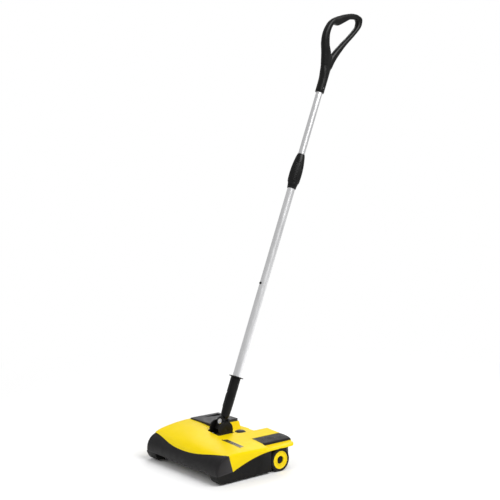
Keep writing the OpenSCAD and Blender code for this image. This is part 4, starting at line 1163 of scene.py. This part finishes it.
def loop_handle():
    """Loop handle: the ring of the grip and its stem, blended into each other, then parted in two."""
    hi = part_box("loop_shell_right")[1]
    base = (TUBE.inverted() @ ((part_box("upper_tube")[0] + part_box("upper_tube")[1]) / 2)).z + 165.0
    spot = shift(0, 0, base, TUBE)
    # outer point and inner point, round the grip from the left of the stem to its right
    stations = [(-22, 82, 5, 86), (-34, 116, -2, 124), (-45, 143, -17, 147), (-49, 173, -27, 176),
                (-43.5, 203, -25.5, 202), (-35, 221, -19, 211), (-20, 237, -3, 216), (2, 255, 17, 237),
                (24.5, 270.5, 32, 253.5), (45, 280, 47, 262.5), (62, 282.6, 56, 266), (76, 280, 60.5, 263.5),
                (81, 266, 63, 256), (79.5, 249, 62, 243), (66.5, 218, 49, 215), (42.5, 169, 22, 165),
                (23, 116, 2, 123), (16, 82, -8, 84)]
    rings = [section_ring((a, b), (c, d), LOOP_HALF - 0.15) for a, b, c, d in open_curve(stations, 6)]
    ring = capped("loop", rings, spot)
    left = smooth_through([(0.3, -13.3), (40, -13.6), (63, -17.5), (90, -24.5), (116, -31), (125, -33)])
    right = smooth_through([(0.3, 13.3), (40, 13.2), (69, 13.4), (90, 17), (116, 21), (125, 22)])
    thick = smooth_through([(0.3, 13.3), (30, 13.4), (58, 12.4), (80, 10.2), (104, 9.4), (116, 8), (122, 4)])
    rings = []
    for h in (0.3, 1, 4, 10, 18, 26, 34, 42, 50, 58, 66, 74, 82, 90, 98, 106, 112, 116, 119, 121):
        rings.append(section_ring((left(h), h), (right(h), h), thick(h), 2 + 0.5 * ease(30, 80, h)))
    body = join("loop", [ring, capped("stem", rings, spot)])
    remesh = body.modifiers.new("blend", "REMESH")
    remesh.mode = "VOXEL"
    remesh.voxel_size = 0.0012
    remesh.use_smooth_shade = True
    smooth = body.modifiers.new("smooth", "SMOOTH")
    smooth.factor = 0.5
    smooth.iterations = 10
    bake(body)
    # smoothing shrinks the ring by an amount that depends on the voxels, so its top is set by the CAD
    to_spot = spot.inverted()
    top = max((v.co for v in body.data.vertices), key=lambda co: co.z).copy()
    over = top.z - (hi.z - 0.0001)
    rise = (spot.to_3x3() @ Vector((0, 0, 1))).z
    sleeve = 60
    keep = 1 - over / (rise * ((to_spot @ top).z - sleeve))
    for v in body.data.vertices:
        p = to_spot @ v.co
        if p.z > sleeve:
            v.co = spot @ Vector((p.x, p.y, sleeve + (p.z - sleeve) * keep))
    bore = [(0.01, -5), (9.56, -5), (9.56, 58.5), (0.01, 58.5)]
    cut(body, lathe("bore", bore, spot, steps=64))
    groove = [(12.7, 4.2), (20, 4.2), (20, 5.1), (12.7, 5.1)]
    cut(body, lathe("foot_groove", groove, spot, steps=64, closed=True))
    notches = []
    for i in range(14):
        about = spot @ Matrix.Rotation(2 * pi * (i + 0.5) / 14, 4, "Z")
        notches.append(block("notch", (12.3, -1.1, -2), (20, 1.1, 1.9), about))
    cut(body, join("notches", notches))
    halves = []
    for side, name in ((-1, "left"), (1, "right")):
        part = new_object("loop_shell_" + name + "_finished", body.data.copy())
        with editing(part.data) as bm:
            halve(bm, side)
        if side < 0:
            floor_x, outer_x = SCREW_DEPTH - LOOP_HALF, -40
            section = [(0.01, floor_x), (3.6, floor_x), (3.6, outer_x), (0.01, outer_x)]
            for y, z in LOOP_SCREWS:
                hole = shift(0, y, z, spot)
                cut(part, lathe("hole", section, hole, axis="x", steps=32))
        halves.append(shade(part, 40))
    bpy.data.objects.remove(body)
    return halves, spot


halves, spot = loop_handle()
for part, name in zip(halves, ("left", "right")):
    piece(part, "upper_handle", "grip_black", "loop_shell_" + name)
turn = Matrix.Rotation(-pi / 2, 4, "Y")
places = [shift(-LOOP_HALF + SCREW_DEPTH, y, z, spot) @ turn for y, z in LOOP_SCREWS]
screws("loop_screws", places, 1.6, 1.6, 13, "upper_handle")
refine("handle_rivet", "spring_steel", 0.2)

# ---- floor, light
def floor_material():
    """White paper, which fades into the plain white beyond it."""
    m = material("floor_paper", (0.95, 0.95, 0.95), 0.7, mottle=0.004, specular=0.1)
    tree, links = m.node_tree, m.node_tree.links
    reach = add_node(tree, "VectorMath")
    reach.operation = "LENGTH"
    links.new(add_node(tree, "TexCoord").outputs["Object"], reach.inputs[0])
    fade = add_node(tree, "MapRange", From_Min=0.55, From_Max=1.7)
    fade.interpolation_type = "SMOOTHSTEP"
    links.new(reach.outputs["Value"], fade.inputs["Value"])
    blend = add_node(tree, "MixShader")
    links.new(fade.outputs["Result"], blend.inputs["Fac"])
    links.new(tree.nodes["Principled BSDF"].outputs["BSDF"], blend.inputs[1])
    links.new(add_node(tree, "Emission").outputs["Emission"], blend.inputs[2])
    links.new(blend.outputs["Shader"], tree.nodes["Material Output"].inputs["Surface"])
    return m


floor_mesh = bpy.data.meshes.new("floor")
rim = [(3 * cos(pi * i / 48), 3 * sin(pi * i / 48), 0) for i in range(96)]
floor_mesh.from_pydata(rim, [], [tuple(range(96))])
floor = new_object("floor", floor_mesh)
floor.data.materials.append(floor_material())
bm = bmesh.new()
bmesh.ops.create_icosphere(bm, subdivisions=4, radius=20)
backdrop_mesh = bpy.data.meshes.new("backdrop")
bm.to_mesh(backdrop_mesh)
bm.free()
backdrop = new_object("backdrop", backdrop_mesh)
white = bpy.data.materials.new("backdrop_white")
white.use_nodes = True
tree = white.node_tree
tree.nodes.remove(tree.nodes["Principled BSDF"])
glow = add_node(tree, "Emission").outputs["Emission"]
tree.links.new(glow, tree.nodes["Material Output"].inputs["Surface"])
backdrop.data.materials.append(white)
# seen by the camera only, so that it lights nothing
backdrop.visible_diffuse = backdrop.visible_glossy = backdrop.visible_transmission = False
backdrop.visible_shadow = backdrop.visible_volume_scatter = False


def area_light(name, place, aim_at, size, power):
    light = new_object(name, bpy.data.lights.new(name, "AREA"))
    light.data.shape = "RECTANGLE"
    light.data.size, light.data.size_y = size
    light.data.energy = power
    light.location = place
    light.rotation_euler = (Vector(aim_at) - Vector(place)).to_track_quat("-Z", "Y").to_euler()
    return light


area_light("key", (2.3, 0.5, 3.2), (0, 0, 0.2), (2.4, 2.4), 100)
fill = area_light("fill", (-0.6, -3.2, 2.4), (0, 0, 0.3), (3.0, 2.4), 22)
fill.visible_glossy = False
area_light("back", (-2.4, 2.2, 2.6), (0, 0, 0.4), (2.0, 2.0), 40)
bpy.context.scene.view_settings.view_transform = "Standard"
world = bpy.data.worlds.new("studio")
bpy.context.scene.world = world
world.use_nodes = True
world.node_tree.nodes["Background"].inputs["Color"].default_value = (1, 1, 1, 1)
world.node_tree.nodes["Background"].inputs["Strength"].default_value = 0.55
